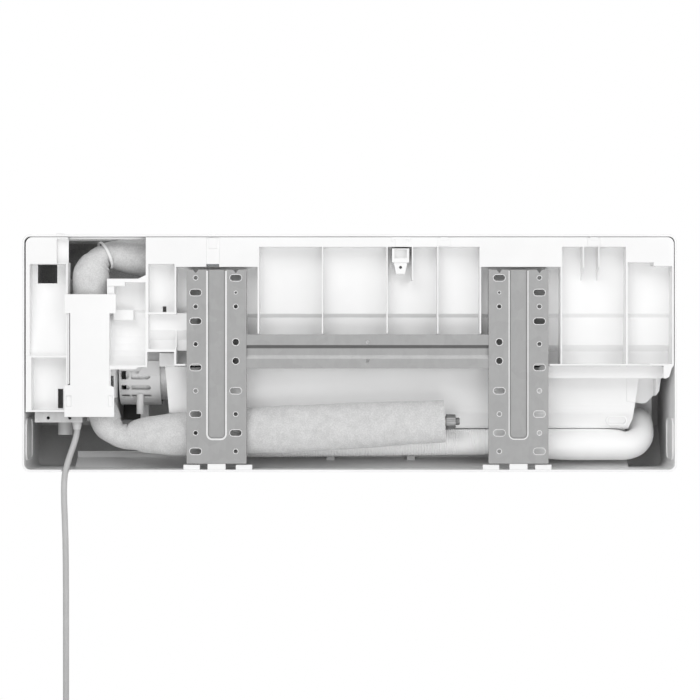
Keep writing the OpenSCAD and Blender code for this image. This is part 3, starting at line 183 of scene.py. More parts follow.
def coilPoint(t):
    s = leadSize
    pitch = s["diameter"] + s["gap"]
    inner = s["coilRadius"] - pitch * s["turnsIn"]
    if t < s["turnsIn"]:
        radius = s["coilRadius"] - pitch * t
    elif t < s["turnsIn"] + s["turnsClimb"]:
        radius = inner
    else:
        radius = inner + pitch * (t - s["turnsIn"] - s["turnsClimb"]) * s["turnsIn"] / s["turnsOut"]
    layer = pitch * max(0, min(1, (t - s["turnsIn"]) / s["turnsClimb"]))
    angle = math.pi + 2 * math.pi * t
    across, up = radius * math.cos(angle), radius * math.sin(angle)
    return (coilCentre[0] + across, coilCentre[1] + layer, coilCentre[2] + up)


coilCentre = (leadRoute[-1][0] + leadSize["coilRadius"], 6, leadRoute[-1][2] - leadSize["diameter"])
coilTurns = leadSize["turnsIn"] + leadSize["turnsClimb"] + leadSize["turnsOut"]
coilRoute = [coilPoint(i / leadSize["turnSteps"]) for i in range(int(coilTurns * leadSize["turnSteps"]) + 1)]
coilEnd = coilRoute[-1]
leadTail = [(coilEnd[0], coilEnd[1], coilEnd[2] - leadSize["diameter"] * k) for k in (1, 2)]
wholeLead = leadRoute + coilRoute + leadTail


def roundCurve(name, points, radius, sides=4):
    curve = bpy.data.curves.new(name, "CURVE")
    curve.dimensions = "3D"
    spline = curve.splines.new("POLY")
    spline.points.add(len(points) - 1)
    for point, place in zip(spline.points, points):
        point.co = (place[0] / 1000, place[1] / 1000, place[2] / 1000, 1)
    curve.bevel_depth = radius / 1000
    curve.bevel_resolution = sides
    curve.use_fill_caps = True
    piece = bpy.data.objects.new(name, curve)
    scene.collection.objects.link(piece)
    return piece


def smoothRoute(points, steps):  # points between the given ones, on one smooth curve
    out = []
    for i in range(len(points) - 1):
        p0, p1, p2, p3 = (Vector(points[max(0, min(len(points) - 1, i + k))]) for k in (-1, 0, 1, 2))
        for s in range(steps):
            t = s / steps
            out.append(tuple(0.5 * (2 * p1 + (p2 - p0) * t + (2 * p0 - 5 * p1 + 4 * p2 - p3) * t * t
                + (3 * p1 - p0 - 3 * p2 + p3) * t ** 3)))
    out.append(tuple(points[-1]))
    return out


mainsLead = roundCurve("mainsLead", wholeLead, leadSize["diameter"] / 2, leadSize["sides"])
for spline in mainsLead.data.splines:
    spline.use_smooth = True


# Finishes

finishSize = {"noiseLow": 0.3, "noiseHigh": 0.7, "edgeSamples": 6, "hollowSamples": 8, "stripEdge": 0.8}


def newFinish(name, rough, metallic=0.0, specular=0.5):
    material = bpy.data.materials.new(name)
    material.use_nodes = True
    tree = material.node_tree
    shader = tree.nodes["Principled BSDF"]
    shader.inputs["Roughness"].default_value = rough
    shader.inputs["Metallic"].default_value = metallic
    shader.inputs["Specular IOR Level"].default_value = specular
    place = tree.nodes.new("ShaderNodeTexCoord")
    return material, tree, shader, place.outputs["Object"]


def addNoise(tree, place, scale, detail=4.0, stretch=(1, 1, 1)):
    mapping = tree.nodes.new("ShaderNodeMapping")
    mapping.inputs["Scale"].default_value = stretch
    tree.links.new(place, mapping.inputs["Vector"])
    noise = tree.nodes.new("ShaderNodeTexNoise")
    noise.inputs["Scale"].default_value = scale
    noise.inputs["Detail"].default_value = detail
    tree.links.new(mapping.outputs["Vector"], noise.inputs["Vector"])
    return noise.outputs["Fac"]


def twoTone(tree, shader, value, dark, light, low=0.35, high=0.65):
    ramp = tree.nodes.new("ShaderNodeValToRGB")
    ramp.color_ramp.elements[0].position = low
    ramp.color_ramp.elements[1].position = high
    ramp.color_ramp.elements[0].color = (*dark, 1)
    ramp.color_ramp.elements[1].color = (*light, 1)
    tree.links.new(value, ramp.inputs["Fac"])
    tree.links.new(ramp.outputs["Color"], shader.inputs["Base Color"])


def roughBand(tree, shader, value, low, high):
    band = tree.nodes.new("ShaderNodeMapRange")
    band.inputs["From Min"].default_value = finishSize["noiseLow"]
    band.inputs["From Max"].default_value = finishSize["noiseHigh"]
    band.inputs["To Min"].default_value = low
    band.inputs["To Max"].default_value = high
    tree.links.new(value, band.inputs["Value"])
    tree.links.new(band.outputs["Result"], shader.inputs["Roughness"])


def addBump(tree, shader, height, strength, distance, edge=0.0):
    bump = tree.nodes.new("ShaderNodeBump")
    bump.inputs["Strength"].default_value = strength
    bump.inputs["Distance"].default_value = distance / 1000
    tree.links.new(height, bump.inputs["Height"])
    if edge:  # softens the edges of moulded and folded pieces
        soft = tree.nodes.new("ShaderNodeBevel")
        soft.samples = finishSize["edgeSamples"]
        soft.inputs["Radius"].default_value = edge / 1000
        tree.links.new(soft.outputs["Normal"], bump.inputs["Normal"])
    tree.links.new(bump.outputs["Normal"], shader.inputs["Normal"])


# One value below a place on the axis and another above it
def heightBand(tree, place, low, high, under, over, axis="Z"):
    parts = tree.nodes.new("ShaderNodeSeparateXYZ")
    tree.links.new(place, parts.inputs[0])
    band = tree.nodes.new("ShaderNodeMapRange")
    band.inputs["From Min"].default_value = low / 1000
    band.inputs["From Max"].default_value = high / 1000
    band.inputs["To Min"].default_value = under
    band.inputs["To Max"].default_value = over
    tree.links.new(parts.outputs[axis], band.inputs["Value"])
    return band.outputs["Result"]


hollowSize = {"lit": (-50, 0), "deep": (45, 150), "deepTone": 0.6}


# The hollows of a closed casing get little light
def shadeHollows(tree, shader, place, reach, low, high, darkest, floorTone):
    s = hollowSize
    near = tree.nodes.new("ShaderNodeAmbientOcclusion")
    near.samples = finishSize["hollowSamples"]
    near.inputs["Distance"].default_value = reach / 1000
    band = tree.nodes.new("ShaderNodeMapRange")
    band.inputs["From Min"].default_value = low
    band.inputs["From Max"].default_value = high
    tone = tree.nodes.new("ShaderNodeMath")
    tone.operation = "MULTIPLY"
    tree.links.new(heightBand(tree, place, *s["lit"], floorTone, darkest), tone.inputs[0])
    tree.links.new(heightBand(tree, place, *s["deep"], 1.0, s["deepTone"], "Y"), tone.inputs[1])
    tree.links.new(tone.outputs["Value"], band.inputs["To Min"])
    band.inputs["To Max"].default_value = 1
    tree.links.new(near.outputs["AO"], band.inputs["Value"])
    scaleColour(tree, shader, band.outputs["Result"])


def grey(value, tint=(1.0, 1.0, 1.0)):  # from the level seen on screen to the level that lights use
    linear = value / 12.92 if value <= 0.04045 else ((value + 0.055) / 1.055) ** 2.4
    return tuple(linear * t for t in tint)


# Painted light and shade: scales the colour by the tone inside one band of height, below 1 for a shadow and
# above 1 for a highlight
def paintedLightStrip(tree, shader, place, low, high, tone):
    edge = finishSize["stripEdge"]
    rising = heightBand(tree, place, low, low + edge, 0, 1)
    falling = heightBand(tree, place, high - edge, high, 1, 0)
    both = tree.nodes.new("ShaderNodeMath")
    both.operation = "MULTIPLY"
    tree.links.new(rising, both.inputs[0])
    tree.links.new(falling, both.inputs[1])
    band = tree.nodes.new("ShaderNodeMapRange")
    band.inputs["To Min"].default_value = 1
    band.inputs["To Max"].default_value = tone
    tree.links.new(both.outputs["Value"], band.inputs["Value"])
    scaleColour(tree, shader, band.outputs["Result"])


def scaleColour(tree, shader, factor):
    colour = shader.inputs["Base Color"].links[0].from_socket
    scaled = tree.nodes.new("ShaderNodeVectorMath")
    scaled.operation = "SCALE"
    tree.links.new(colour, scaled.inputs[0])
    tree.links.new(factor, scaled.inputs["Scale"])
    tree.links.new(scaled.outputs["Vector"], shader.inputs["Base Color"])


plasticLook = {"cloud": 9, "darker": 0.012, "lighter": 0.008, "smear": 40, "glossier": 0.05, "duller": 0.06,
    "bump": 0.25}


def mouldedPlastic(name, level, rough=0.42, grain=900, depth=0.03, tint=(1, 1, 1), edge=0.5, hollow=None):
    material, tree, shader, place = newFinish(name, rough)
    s = plasticLook
    cloud = addNoise(tree, place, s["cloud"], 3)
    twoTone(tree, shader, cloud, grey(level - s["darker"], tint), grey(level + s["lighter"], tint))
    if hollow:
        shadeHollows(tree, shader, place, *hollow)
    smear = addNoise(tree, place, s["smear"], 2)
    roughBand(tree, shader, smear, rough - s["glossier"], rough + s["duller"])
    addBump(tree, shader, addNoise(tree, place, grain, 3), s["bump"], depth, edge)
    return material


sheetLook = {"spangle": 95, "fine": 260, "stretch": (1, 1, 0.35), "fineShare": 0.55, "bump": 0.2, "depth": 0.04,
    "edge": 0.4}


def galvanisedSheet(name, level, rough=0.42, metallic=0.55, spread=0.05, paintedFoldLight=()):
    material, tree, shader, place = newFinish(name, rough, metallic)
    s = sheetLook
    spangle = tree.nodes.new("ShaderNodeTexVoronoi")
    spangle.inputs["Scale"].default_value = s["spangle"]
    tree.links.new(place, spangle.inputs["Vector"])
    fine = addNoise(tree, place, s["fine"], 4, s["stretch"])
    mix = tree.nodes.new("ShaderNodeMix")
    mix.data_type = "FLOAT"
    mix.inputs["Factor"].default_value = s["fineShare"]
    tree.links.new(spangle.outputs["Color"], mix.inputs["A"])
    tree.links.new(fine, mix.inputs["B"])
    twoTone(tree, shader, mix.outputs["Result"], grey(level - spread), grey(level + spread), 0.2, 0.8)
    for low, high, tone in paintedFoldLight:  # painted shadow and painted highlight: height bands where the bar's folds lose and catch the light
        paintedLightStrip(tree, shader, place, low, high, tone)
    roughBand(tree, shader, mix.outputs["Result"], rough - spread, rough + 2 * spread)
    addBump(tree, shader, fine, s["bump"], s["depth"], s["edge"])
    return material


foamLook = {"rough": 0.86, "specular": 0.25, "pores": 620, "cloud": 110, "poreShare": 0.42, "darker": 0.06,
    "lighter": 0.035, "bump": 0.75, "depth": 0.6, "sheen": 0.15, "sheenRough": 0.6}


def foamSleeve(name, level):
    s = foamLook
    material, tree, shader, place = newFinish(name, s["rough"], 0, s["specular"])
    pores = tree.nodes.new("ShaderNodeTexVoronoi")
    pores.inputs["Scale"].default_value = s["pores"]
    tree.links.new(place, pores.inputs["Vector"])
    cloud = addNoise(tree, place, s["cloud"], 6)
    mix = tree.nodes.new("ShaderNodeMix")
    mix.data_type = "FLOAT"
    mix.inputs["Factor"].default_value = s["poreShare"]
    tree.links.new(cloud, mix.inputs["A"])
    tree.links.new(pores.outputs["Distance"], mix.inputs["B"])
    dark, light = grey(level - s["darker"]), grey(level + s["lighter"])
    twoTone(tree, shader, mix.outputs["Result"], dark, light, 0.25, 0.7)
    addBump(tree, shader, mix.outputs["Result"], s["bump"], s["depth"])
    shader.inputs["Sheen Weight"].default_value = s["sheen"]
    shader.inputs["Sheen Roughness"].default_value = s["sheenRough"]
    return material


rubberLook = {"specular": 0.4, "cloud": 35, "darker": 0.02, "lighter": 0.015, "smear": 90, "glossier": 0.06,
    "duller": 0.08, "bump": 0.2, "depth": 0.05}


def rubberSkin(name, level, rough=0.5, grain=700):
    s = rubberLook
    material, tree, shader, place = newFinish(name, rough, 0, s["specular"])
    cloud = addNoise(tree, place, s["cloud"], 4)
    twoTone(tree, shader, cloud, grey(level - s["darker"]), grey(level + s["lighter"]))
    smear = addNoise(tree, place, s["smear"], 2)
    roughBand(tree, shader, smear, rough - s["glossier"], rough + s["duller"])
    addBump(tree, shader, addNoise(tree, place, grain, 3), s["bump"], s["depth"])
    return material


metalLook = {"metallic": 0.9, "streak": 900, "smear": 60, "glossier": 0.08, "duller": 0.14, "bump": 0.15,
    "depth": 0.03, "edge": 0.3}


def drawnMetal(name, dark, light, rough=0.32, along=(0.05, 1, 1)):
    s = metalLook
    material, tree, shader, place = newFinish(name, rough, s["metallic"])
    streak = addNoise(tree, place, s["streak"], 3, along)
    twoTone(tree, shader, streak, dark, light)
    smear = addNoise(tree, place, s["smear"], 3)
    roughBand(tree, shader, smear, rough - s["glossier"], rough + s["duller"])
    addBump(tree, shader, streak, s["bump"], s["depth"], s["edge"])
    return material


finLook = {"rough": 0.35, "metallic": 0.85, "waves": 230, "waver": 0.15, "dark": (0.06, 0.065, 0.07),
    "light": (0.72, 0.75, 0.78), "bump": 0.8, "depth": 0.6}


def finStack(name):
    s = finLook
    material, tree, shader, place = newFinish(name, s["rough"], s["metallic"])
    wave = tree.nodes.new("ShaderNodeTexWave")
    wave.bands_direction = "X"
    wave.inputs["Scale"].default_value = s["waves"]
    wave.inputs["Distortion"].default_value = s["waver"]
    tree.links.new(place, wave.inputs["Vector"])
    # the light bands are the fins; the dark bands are painted shade in the gaps between them
    twoTone(tree, shader, wave.outputs["Fac"], s["dark"], s["light"], 0.15, 0.6)
    addBump(tree, shader, wave.outputs["Fac"], s["bump"], s["depth"])
    return material


netLook = {"rough": 0.6, "waves": 200, "dark": (0.03, 0.035, 0.04), "light": (0.30, 0.36, 0.42), "bump": 0.6,
    "depth": 0.3}


def filterNet(name):
    s = netLook
    material, tree, shader, place = newFinish(name, s["rough"])
    cells = []
    for direction in ("X", "Z"):
        wave = tree.nodes.new("ShaderNodeTexWave")
        wave.bands_direction = direction
        wave.inputs["Scale"].default_value = s["waves"]
        tree.links.new(place, wave.inputs["Vector"])
        cells.append(wave.outputs["Fac"])
    most = tree.nodes.new("ShaderNodeMath")
    most.operation = "MAXIMUM"
    tree.links.new(cells[0], most.inputs[0])
    tree.links.new(cells[1], most.inputs[1])
    # the light bands are the net's threads; the near-black cells are painted shade in its openings
    twoTone(tree, shader, most.outputs["Value"], s["dark"], s["light"], 0.45, 0.8)
    addBump(tree, shader, most.outputs["Value"], s["bump"], s["depth"])
    return material


boardLook = {"rough": 0.38, "tracks": 120, "gap": 0.03, "bump": 0.3, "depth": 0.05, "edge": 0.2,
    "Color1": (0.01, 0.09, 0.035, 1), "Color2": (0.014, 0.12, 0.05, 1), "Mortar": (0.05, 0.22, 0.10, 1)}


def printedBoard(name):
    s = boardLook
    material, tree, shader, place = newFinish(name, s["rough"])
    tracks = tree.nodes.new("ShaderNodeTexBrick")
    tracks.inputs["Scale"].default_value = s["tracks"]
    for colour in ("Color1", "Color2", "Mortar"):
        tracks.inputs[colour].default_value = s[colour]
    tracks.inputs["Mortar Size"].default_value = s["gap"]
    turn = tree.nodes.new("ShaderNodeMapping")
    turn.inputs["Rotation"].default_value = (math.pi / 2, 0, 0)
    tree.links.new(place, turn.inputs["Vector"])
    tree.links.new(turn.outputs["Vector"], tracks.inputs["Vector"])
    tree.links.new(tracks.outputs["Color"], shader.inputs["Base Color"])
    addBump(tree, shader, tracks.outputs["Fac"], s["bump"], s["depth"], s["edge"])
    return material


casingWhite = mouldedPlastic("casingWhite", 0.962, 0.36, 1200, 0.02, edge=0.8,
    hollow=(170, 0.0, 0.38, 0.17, 0.98))
grilleWhite = mouldedPlastic("grilleWhite", 0.96, 0.4, 1200, 0.02, edge=0.6,
    hollow=(120, 0.0, 0.5, 0.15, 0.5))
panelWhite = mouldedPlastic("panelWhite", 0.975, 0.28, 1500, 0.012, edge=0.8)
chassisWhite = mouldedPlastic("chassisWhite", 0.95, 0.48, 800, 0.03)
ductWhite = mouldedPlastic("ductWhite", 0.965, 0.55, 260, 0.12)
coverWhite = mouldedPlastic("coverWhite", 0.96, 0.4, 1000, 0.02, edge=0.8)
louvreWhite = mouldedPlastic("louvreWhite", 0.95, 0.34, 1200, 0.02)
cageGrey = mouldedPlastic("cageGrey", 0.98, 0.5, 700, 0.03)
hoseWhite = mouldedPlastic("hoseWhite", 0.985, 0.45, 300, 0.06, edge=0)
grommetGrey = mouldedPlastic("grommetGrey", 0.74, 0.5, 500, 0.05)
plateZinc = galvanisedSheet("plateZinc", 0.61, 0.5, 0.25, 0.018)
# the bar's pressed groove gets a painted shadow on its upper slope and a painted highlight on its lower slope
barZinc = galvanisedSheet("barZinc", 0.61, 0.5, 0.25, 0.018, ((3.4, 8.2, 0.4), (-9, -4.2, 1.7)))
boxZinc = galvanisedSheet("boxZinc", 0.73, 0.4, 0.4, 0.04)
motorZinc = galvanisedSheet("motorZinc", 0.93, 0.45, 0.2)
# lighter copy of the plate's zinc: painted highlight on the rolled lips and on the channel's edge
lipHighlightZinc = galvanisedSheet("lipHighlightZinc", 0.94, 0.45, 0.0, 0.02)
foamGrey = foamSleeve("foamGrey", 0.825)
foamBend = foamSleeve("foamBend", 0.84)
leadGrey = rubberSkin("leadGrey", 0.75, 0.48)
plugGrey = mouldedPlastic("plugGrey", 0.82, 0.45, 600, 0.04)
darkRubber = rubberSkin("darkRubber", 0.16, 0.62)
rotorBlack = mouldedPlastic("rotorBlack", 0.22, 0.5, 500, 0.04)
lensBlack = mouldedPlastic("lensBlack", 0.13, 0.12, 1500, 0.005, (0.9, 0.95, 1.0))
copperTube = drawnMetal("copperTube", (0.50, 0.21, 0.11), (0.72, 0.36, 0.22), 0.28)
pipeGrey = drawnMetal("pipeGrey", (0.28, 0.27, 0.26), (0.42, 0.41, 0.40), 0.4)
nutGrey = drawnMetal("nutGrey", (0.20, 0.20, 0.20), (0.34, 0.34, 0.34), 0.5)
steelRod = drawnMetal("steelRod", (0.42, 0.42, 0.44), (0.62, 0.62, 0.64), 0.26)
finSilver = finStack("finSilver")
netBlue = filterNet("netBlue")
boardGreen = printedBoard("boardGreen")
boardDark = mouldedPlastic("boardDark", 0.12, 0.4, 600, 0.04)
blockCream = mouldedPlastic("blockCream", 0.84, 0.5, 600, 0.04, (1, 0.98, 0.9))
strapWhite = mouldedPlastic("strapWhite", 0.95, 0.45, 900, 0.02)
print("finishes mixed:", len(bpy.data.materials))

nodeFinish = {
    casingWhite: ["casing"],
    panelWhite: ["front_panel"],
    grilleWhite: ["intake_grille"],
    chassisWhite: ["chassis", "manual_button"],
    ductWhite: ["air_duct", "drain_pan"],
    coverWhite: ["pipe_cover"],
    louvreWhite: ["louvre", "vane_link_a", "vane_link_b"]
        + ["vane_%s%d" % (s, i) for s in "ab" for i in range(1, 5)],
    cageGrey: ["motor_cover"],
    plateZinc: ["plate_left", "plate_right"],
    barZinc: ["plate_bar"],
    boxZinc: ["control_box", "control_box_lid", "end_plate_left", "end_plate_right"],
    motorZinc: ["fan_motor", "louvre_motor"],
    darkRubber: ["fan_bearing", "cord_tie"],
    grommetGrey: ["wire_grommet"],
    rotorBlack: ["fan_rotor"],
    steelRod: ["fan_shaft", "casing_screws"],
    lensBlack: ["display_lens"],
    copperTube: ["return_bends", "header_pipes"],
    pipeGrey: ["gas_pipe", "liquid_pipe"],
    nutGrey: ["gas_nut", "liquid_nut"],
    finSilver: ["coil_rear", "coil_upper", "coil_lower"],
    netBlue: ["filter_left", "filter_right"],
    boardGreen: ["circuit_board"],
    boardDark: ["display_board"],
    blockCream: ["terminal_block", "room_sensor"],
    plugGrey: ["plug", "strain_relief"],
    strapWhite: ["foam_tie"],
    foamBend: ["foam_upper"],
    foamGrey: ["foam_lower"],
    hoseWhite: ["drain_hose", "drain_hose_ribbed"],
    leadGrey: ["power_cord", "cord_coil"],
}
for material, names in nodeFinish.items():
    for name in names:
        mesh = nodes[name].data
        mesh.materials.clear()
        mesh.materials.append(material)
unfinished = set(nodes) - {n for names in nodeFinish.values() for n in names}
print("nodes without a finish:", sorted(unfinished))

placeOn(mainsLead, "unit", "lead", leadGrey, "power_cord", "cord_coil")


# Foam sleeves round the pipes: a grid wrapped round the route, with a thick wall

upperSleeve = {
    "route": [(-258, 54, 115), (-275, 52, 115.5), (-290, 49, 117), (-303, 46, 119), (-312, 44, 120.5),
        (-319.5, 42, 121), (-328, 39, 117), (-335.5, 36, 107.5), (-340.5, 32.5, 95.5), (-342, 31.5, 82),
        (-341.5, 31, 66), (-341.5, 31, 40), (-341.5, 31, 0), (-341.5, 31, -29.7)],
    "half": [24, 23.5, 22.2, 20.2, 18.5, 15, 15, 20, 23, 22, 21.5, 21.5, 21.5, 21.5],
    "deep": [21.5, 21.5, 21.5, 21, 20, 19, 19, 21, 21.5, 21.5, 21.5, 21.5, 21.5, 21.5],
    "around": 56, "steps": 9, "wall": 5.0,
}
lowerSleeve = {
    "route": [(-341.5, 31, -30), (-341.5, 31, -36), (-339.5, 31, -47), (-335, 30.5, -60), (-325.5, 30, -76),
        (-319.6, 29.5, -91.4), (-308.2, 29, -101.1), (-296, 28.5, -105.3), (-282, 28.5, -103.4),
        (-262, 28.5, -102.7), (-238, 28.5, -102), (-200, 28.5, -100.3), (-150, 28.5, -98),
        (-120, 26, -96.5), (-95, 22.8, -95.3), (-60, 22.5, -93.7), (30, 22.5, -89), (95, 22.5, -85.8)],
    "half": [21.5, 21.5, 21.5, 19.5, 19.5, 18.5, 16, 15.8, 20.5, 24, 26.5, 27.8, 29, 29.3, 29.3, 29,
        27.8, 26.5],
    "deep": [21.5, 21.5, 21.5, 21, 20, 19] + [18] * 12,
    "around": 56, "steps": 10, "wall": 6.0,
}


def wrapSleeve(name, size, crease):
    centres = smoothRoute(size["route"], size["steps"])
    widths = smoothRoute([(a, b, 0) for a, b in zip(size["half"], size["deep"])], size["steps"])
    deselectAll()
    bpy.ops.mesh.primitive_grid_add(x_subdivisions=len(centres) - 1, y_subdivisions=size["around"], size=1)
    sleeve = bpy.context.object
    sleeve.name = name
    columns, rows = len(centres), size["around"] + 1
    for vertex in sleeve.data.vertices:
        i = round((vertex.co.x + 0.5) * (columns - 1))
        k = round((vertex.co.y + 0.5) * (rows - 1))
        centre = Vector(centres[i])
        along = (Vector(centres[min(i + 1, columns - 1)]) - Vector(centres[max(i - 1, 0)])).normalized()
        across = along.cross(Vector((0, 1, 0))).normalized()
        deep = across.cross(along)
        angle = 2 * math.pi * k / (rows - 1)
        half, depth = widths[i][0], widths[i][1]
        dent = crease(i / (columns - 1), angle)
        place = centre + across * math.cos(angle) * (half - dent) + deep * math.sin(angle) * (depth - dent)
        vertex.co = place / 1000
    pickOnly(sleeve)
    bpy.ops.object.mode_set(mode="EDIT")
    bpy.ops.mesh.select_all(action="SELECT")
    bpy.ops.mesh.remove_doubles(threshold=0.00002)
    bpy.ops.mesh.normals_make_consistent(inside=False)
    bpy.ops.object.mode_set(mode="OBJECT")
    wall = sleeve.modifiers.new("Wall", "SOLIDIFY")
    wall.thickness = size["wall"] / 1000
    wall.offset = -1
    applyAll(sleeve)
    return smoothByAngle(sleeve, 50)


def bump(t, centre, width):  # a soft hump round one place on the route
    return math.exp(-((t - centre) / width) ** 2)


sleeveSkin = 0.5  # how far the sleeves stay inside their routes' widths

# Folds of the sleeves: depth, place on the route, width
upperInside = [(3.4, 0.45, 0.014), (2.6, 0.50, 0.012), (2.2, 0.55, 0.012)]
upperOutside = [(1.6, 0.43, 0.015), (1.0, 0.51, 0.012)]
lowerInside = [(2.6, 0.353, 0.012), (1.8, 0.406, 0.01), (1.2, 0.3, 0.01)]


def foldDepth(t, folds):
    return sum(deep * bump(t, centre, width) for deep, centre, width in folds)


def upperCrease(t, angle):
    inner = max(0.0, math.cos(angle)) ** 2
    outer = max(0.0, -math.cos(angle)) ** 3
    dent = inner * foldDepth(t, upperInside) + outer * foldDepth(t, upperOutside)
    ripple = 0.35 * math.sin(t * 90 + 2 * math.sin(angle)) * (0.5 + 0.5 * math.sin(angle * 3))
    return sleeveSkin + dent + ripple * bump(t, 0.42, 0.22)


def lowerCrease(t, angle):
    inner = max(0.0, math.cos(angle)) ** 3
    ripple = 0.3 * math.sin(t * 60 + 3 * math.sin(angle * 2)) * (0.5 + 0.5 * math.cos(angle * 2))
    return sleeveSkin + inner * foldDepth(t, lowerInside) + ripple


placeOn(wrapSleeve("foamAbove", upperSleeve, upperCrease), "unit", "foam", foamBend, "foam_upper")
placeOn(wrapSleeve("foamBelow", lowerSleeve, lowerCrease), "unit", "foam", foamGrey, "foam_lower")
print("foam sleeves wrapped")


# Drain hose: smooth bend at the pan, ribbed run along the floor

hoseSize = {"radius": 16.5, "start": (-150, 66, -116), "end": (151.7, 58, -112.5), "cuff": 8.5, "ribs": 100,
    "ribSteps": 8, "ribTop": 0.3, "ribDepth": 0.65, "bend": 16.4, "wall": 3.6,
    "ringTop": 0.15, "ringDepth": 0.25, "ringTurns": 150, "ringPlace": 0.655, "ringReach": 0.1}
hoseRoute = [(152, 58, -112.5), (172, 57.47, -112.27), (240, 60.5, -115.7), (302, 61, -116),
    (320, 62.5, -117.5), (332.5, 66.5, -115), (340, 73, -109), (343, 81, -102.5), (343.5, 89, -95.5),
    (343.5, 97, -90), (343.5, 104, -88), (343.5, 112, -88)]
hoseSwell = [0.6, 0.4, 3, 3, 1.5, 0.8, 0.3, 0, 0, 0, 0, 0]


def ribbedRun():
    s = hoseSize
    run = s["end"][0] - s["start"][0]
    size = {"route": [s["start"], s["end"]], "half": [s["radius"]] * 2, "deep": [s["radius"]] * 2,
        "around": 32, "steps": s["ribSteps"] * s["ribs"], "wall": s["wall"]}

    def ribs(t, angle):
        place = (t * run - s["cuff"]) / (run - 2 * s["cuff"])
        if not 0 < place < 1:
            return 1.0
        return s["ribTop"] + s["ribDepth"] * abs(math.cos(math.pi * place * s["ribs"])) ** 1.5
    return wrapSleeve("hoseRibbed", size, ribs)


def hoseBend():
    s = hoseSize
    widths = [s["bend"] + swell for swell in hoseSwell]
    size = {"route": hoseRoute, "half": widths, "deep": widths, "around": 40, "steps": 6, "wall": s["wall"]}

    def rings(t, angle):
        wave = math.sin(t * s["ringTurns"]) * bump(t, s["ringPlace"], s["ringReach"])
        return s["ringTop"] + s["ringDepth"] * wave
    return wrapSleeve("hoseSmooth", size, rings)


placeOn(ribbedRun(), "unit", "hose", hoseWhite, "drain_hose_ribbed")
placeOn(hoseBend(), "unit", "hose", hoseWhite, "drain_hose")
print("drain hose laid")


# Wall plate: rolled lips round its holes, in a lighter zinc that paints a highlight on them

plateSize = {"inner": 161, "outer": 210, "lip": 0.55, "flat": 0.7, "rise": 0.3, "slotReach": 3.3,
    "slot": 3.8, "screw": 2.6, "large": 4.0, "pilot": 1.6}
channelSize = {"inner": 172.9, "outer": 196.1, "low": -107.4, "top": 98.6, "round": 6.4, "cornerSteps": 6,
    "bead": (1.25, 0.9), "depth": 0.7}
outerHoles = [(90, "screw"), (72, "slot"), (55, "screw"), (37, "slot"), (9, "screw"), (-19.5, "slot"),
    (-48, "screw"), (-76.5, "slot"), (-99.5, "screw"), (-122, "slot")]
innerHoles = [(90, "slot"), (72, "pilot"), (55, "screw"), (11.5, "large"), (-11.5, "large"),
    (-48, "slot"), (-76.5, "screw"), (-99.5, "slot"), (-122, "screw")]


def holeLip(x, z, kind):
    deselectAll()
    s = plateSize
    bpy.ops.mesh.primitive_torus_add(major_radius=(s[kind] + s["lip"] * s["flat"]) / 1000,
        minor_radius=s["lip"] / 1000, major_segments=32, minor_segments=8, rotation=(math.pi / 2, 0, 0))
    lip = settle(bpy.context.object)
    reach = s["slotReach"] / 1000 if kind == "slot" else 0
    for vertex in lip.data.vertices:
        vertex.co.x += math.copysign(reach, vertex.co.x)
        vertex.co.y *= s["flat"]
    lip.location = mm(x, s["rise"], z)
    return settle(lip)


def channelBead(side):  # the rolled edge of the pressed channel, a thin bead in lighter zinc as a painted highlight
    s = channelSize
    turns = [math.pi / 2 * k / s["cornerSteps"] for k in range(s["cornerSteps"] + 1)]
    corner = [(s["round"] * (1 - math.cos(turn)), -s["round"] * math.sin(turn)) for turn in turns]
    left = [(s["inner"] + dx, s["low"] + s["round"] + dz) for dx, dz in corner]
    right = [(s["outer"] - dx, z) for (x, z), (dx, dz) in zip(left, corner)][::-1]
    outline = [(s["inner"], s["top"])] + left + right + [(s["outer"], s["top"])]
    points = [(side * x, s["depth"], z) for x, z in outline]
    bead = roundCurve("bead", points, s["bead"][side > 0], 3)
    pickOnly(bead)
    bpy.ops.object.convert(target="MESH")
    return bpy.context.object


def plateLips(side):
    lips = [holeLip(side * plateSize["outer"], z, kind) for z, kind in outerHoles]
    lips += [holeLip(side * plateSize["inner"], z, kind) for z, kind in innerHoles]
    lips.append(channelBead(side))
    return smoothByAngle(joinPieces("plateLipsRight" if side > 0 else "plateLipsLeft", lips), 80)


for side in (-1, 1):
    placeOn(plateLips(side), "unit", "galvanised", lipHighlightZinc)
print("plate lips rolled")


# Casing screws, flare nuts and the plug's grip

screwSize = {"y": 111.5, "z": -146.7, "places": (-208, 55, 308), "head": 3.5, "thick": 1.2, "edge": 0.45,
    "crossHalf": 2.2, "crossWall": 0.4, "crossDeep": 0.7, "shank": 1.8, "length": 10.2, "threads": 6,
    "firstThread": 3.5, "threadWire": 0.3, "threadSink": 0.1}


def crossScrew(x):
    s = screwSize
    y, z, wide, deep = s["y"], s["z"], s["crossHalf"], s["crossWall"]
    head = rod("head", (x, y, z), (x, y, z + s["thick"]), s["head"])
    bevelEdges(head, s["edge"], 3)
    cutAway(head, box("cut", (x - wide, y - deep, z - 1), (x + wide, y + deep, z + s["crossDeep"])),
        box("cut", (x - deep, y - wide, z - 1), (x + deep, y + wide, z + s["crossDeep"])))
    shank = rod("shank", (x, y, z + 1), (x, y, z + s["length"]), s["shank"], 20)
    threads = []
    for k in range(s["threads"]):
        deselectAll()
        bpy.ops.mesh.primitive_torus_add(major_radius=(s["shank"] - s["threadSink"]) / 1000,
            minor_radius=s["threadWire"] / 1000, major_segments=20, minor_segments=6,
            location=mm(x, y, z + s["firstThread"] + k))
        threads.append(settle(bpy.context.object))
    return [head, shank] + threads


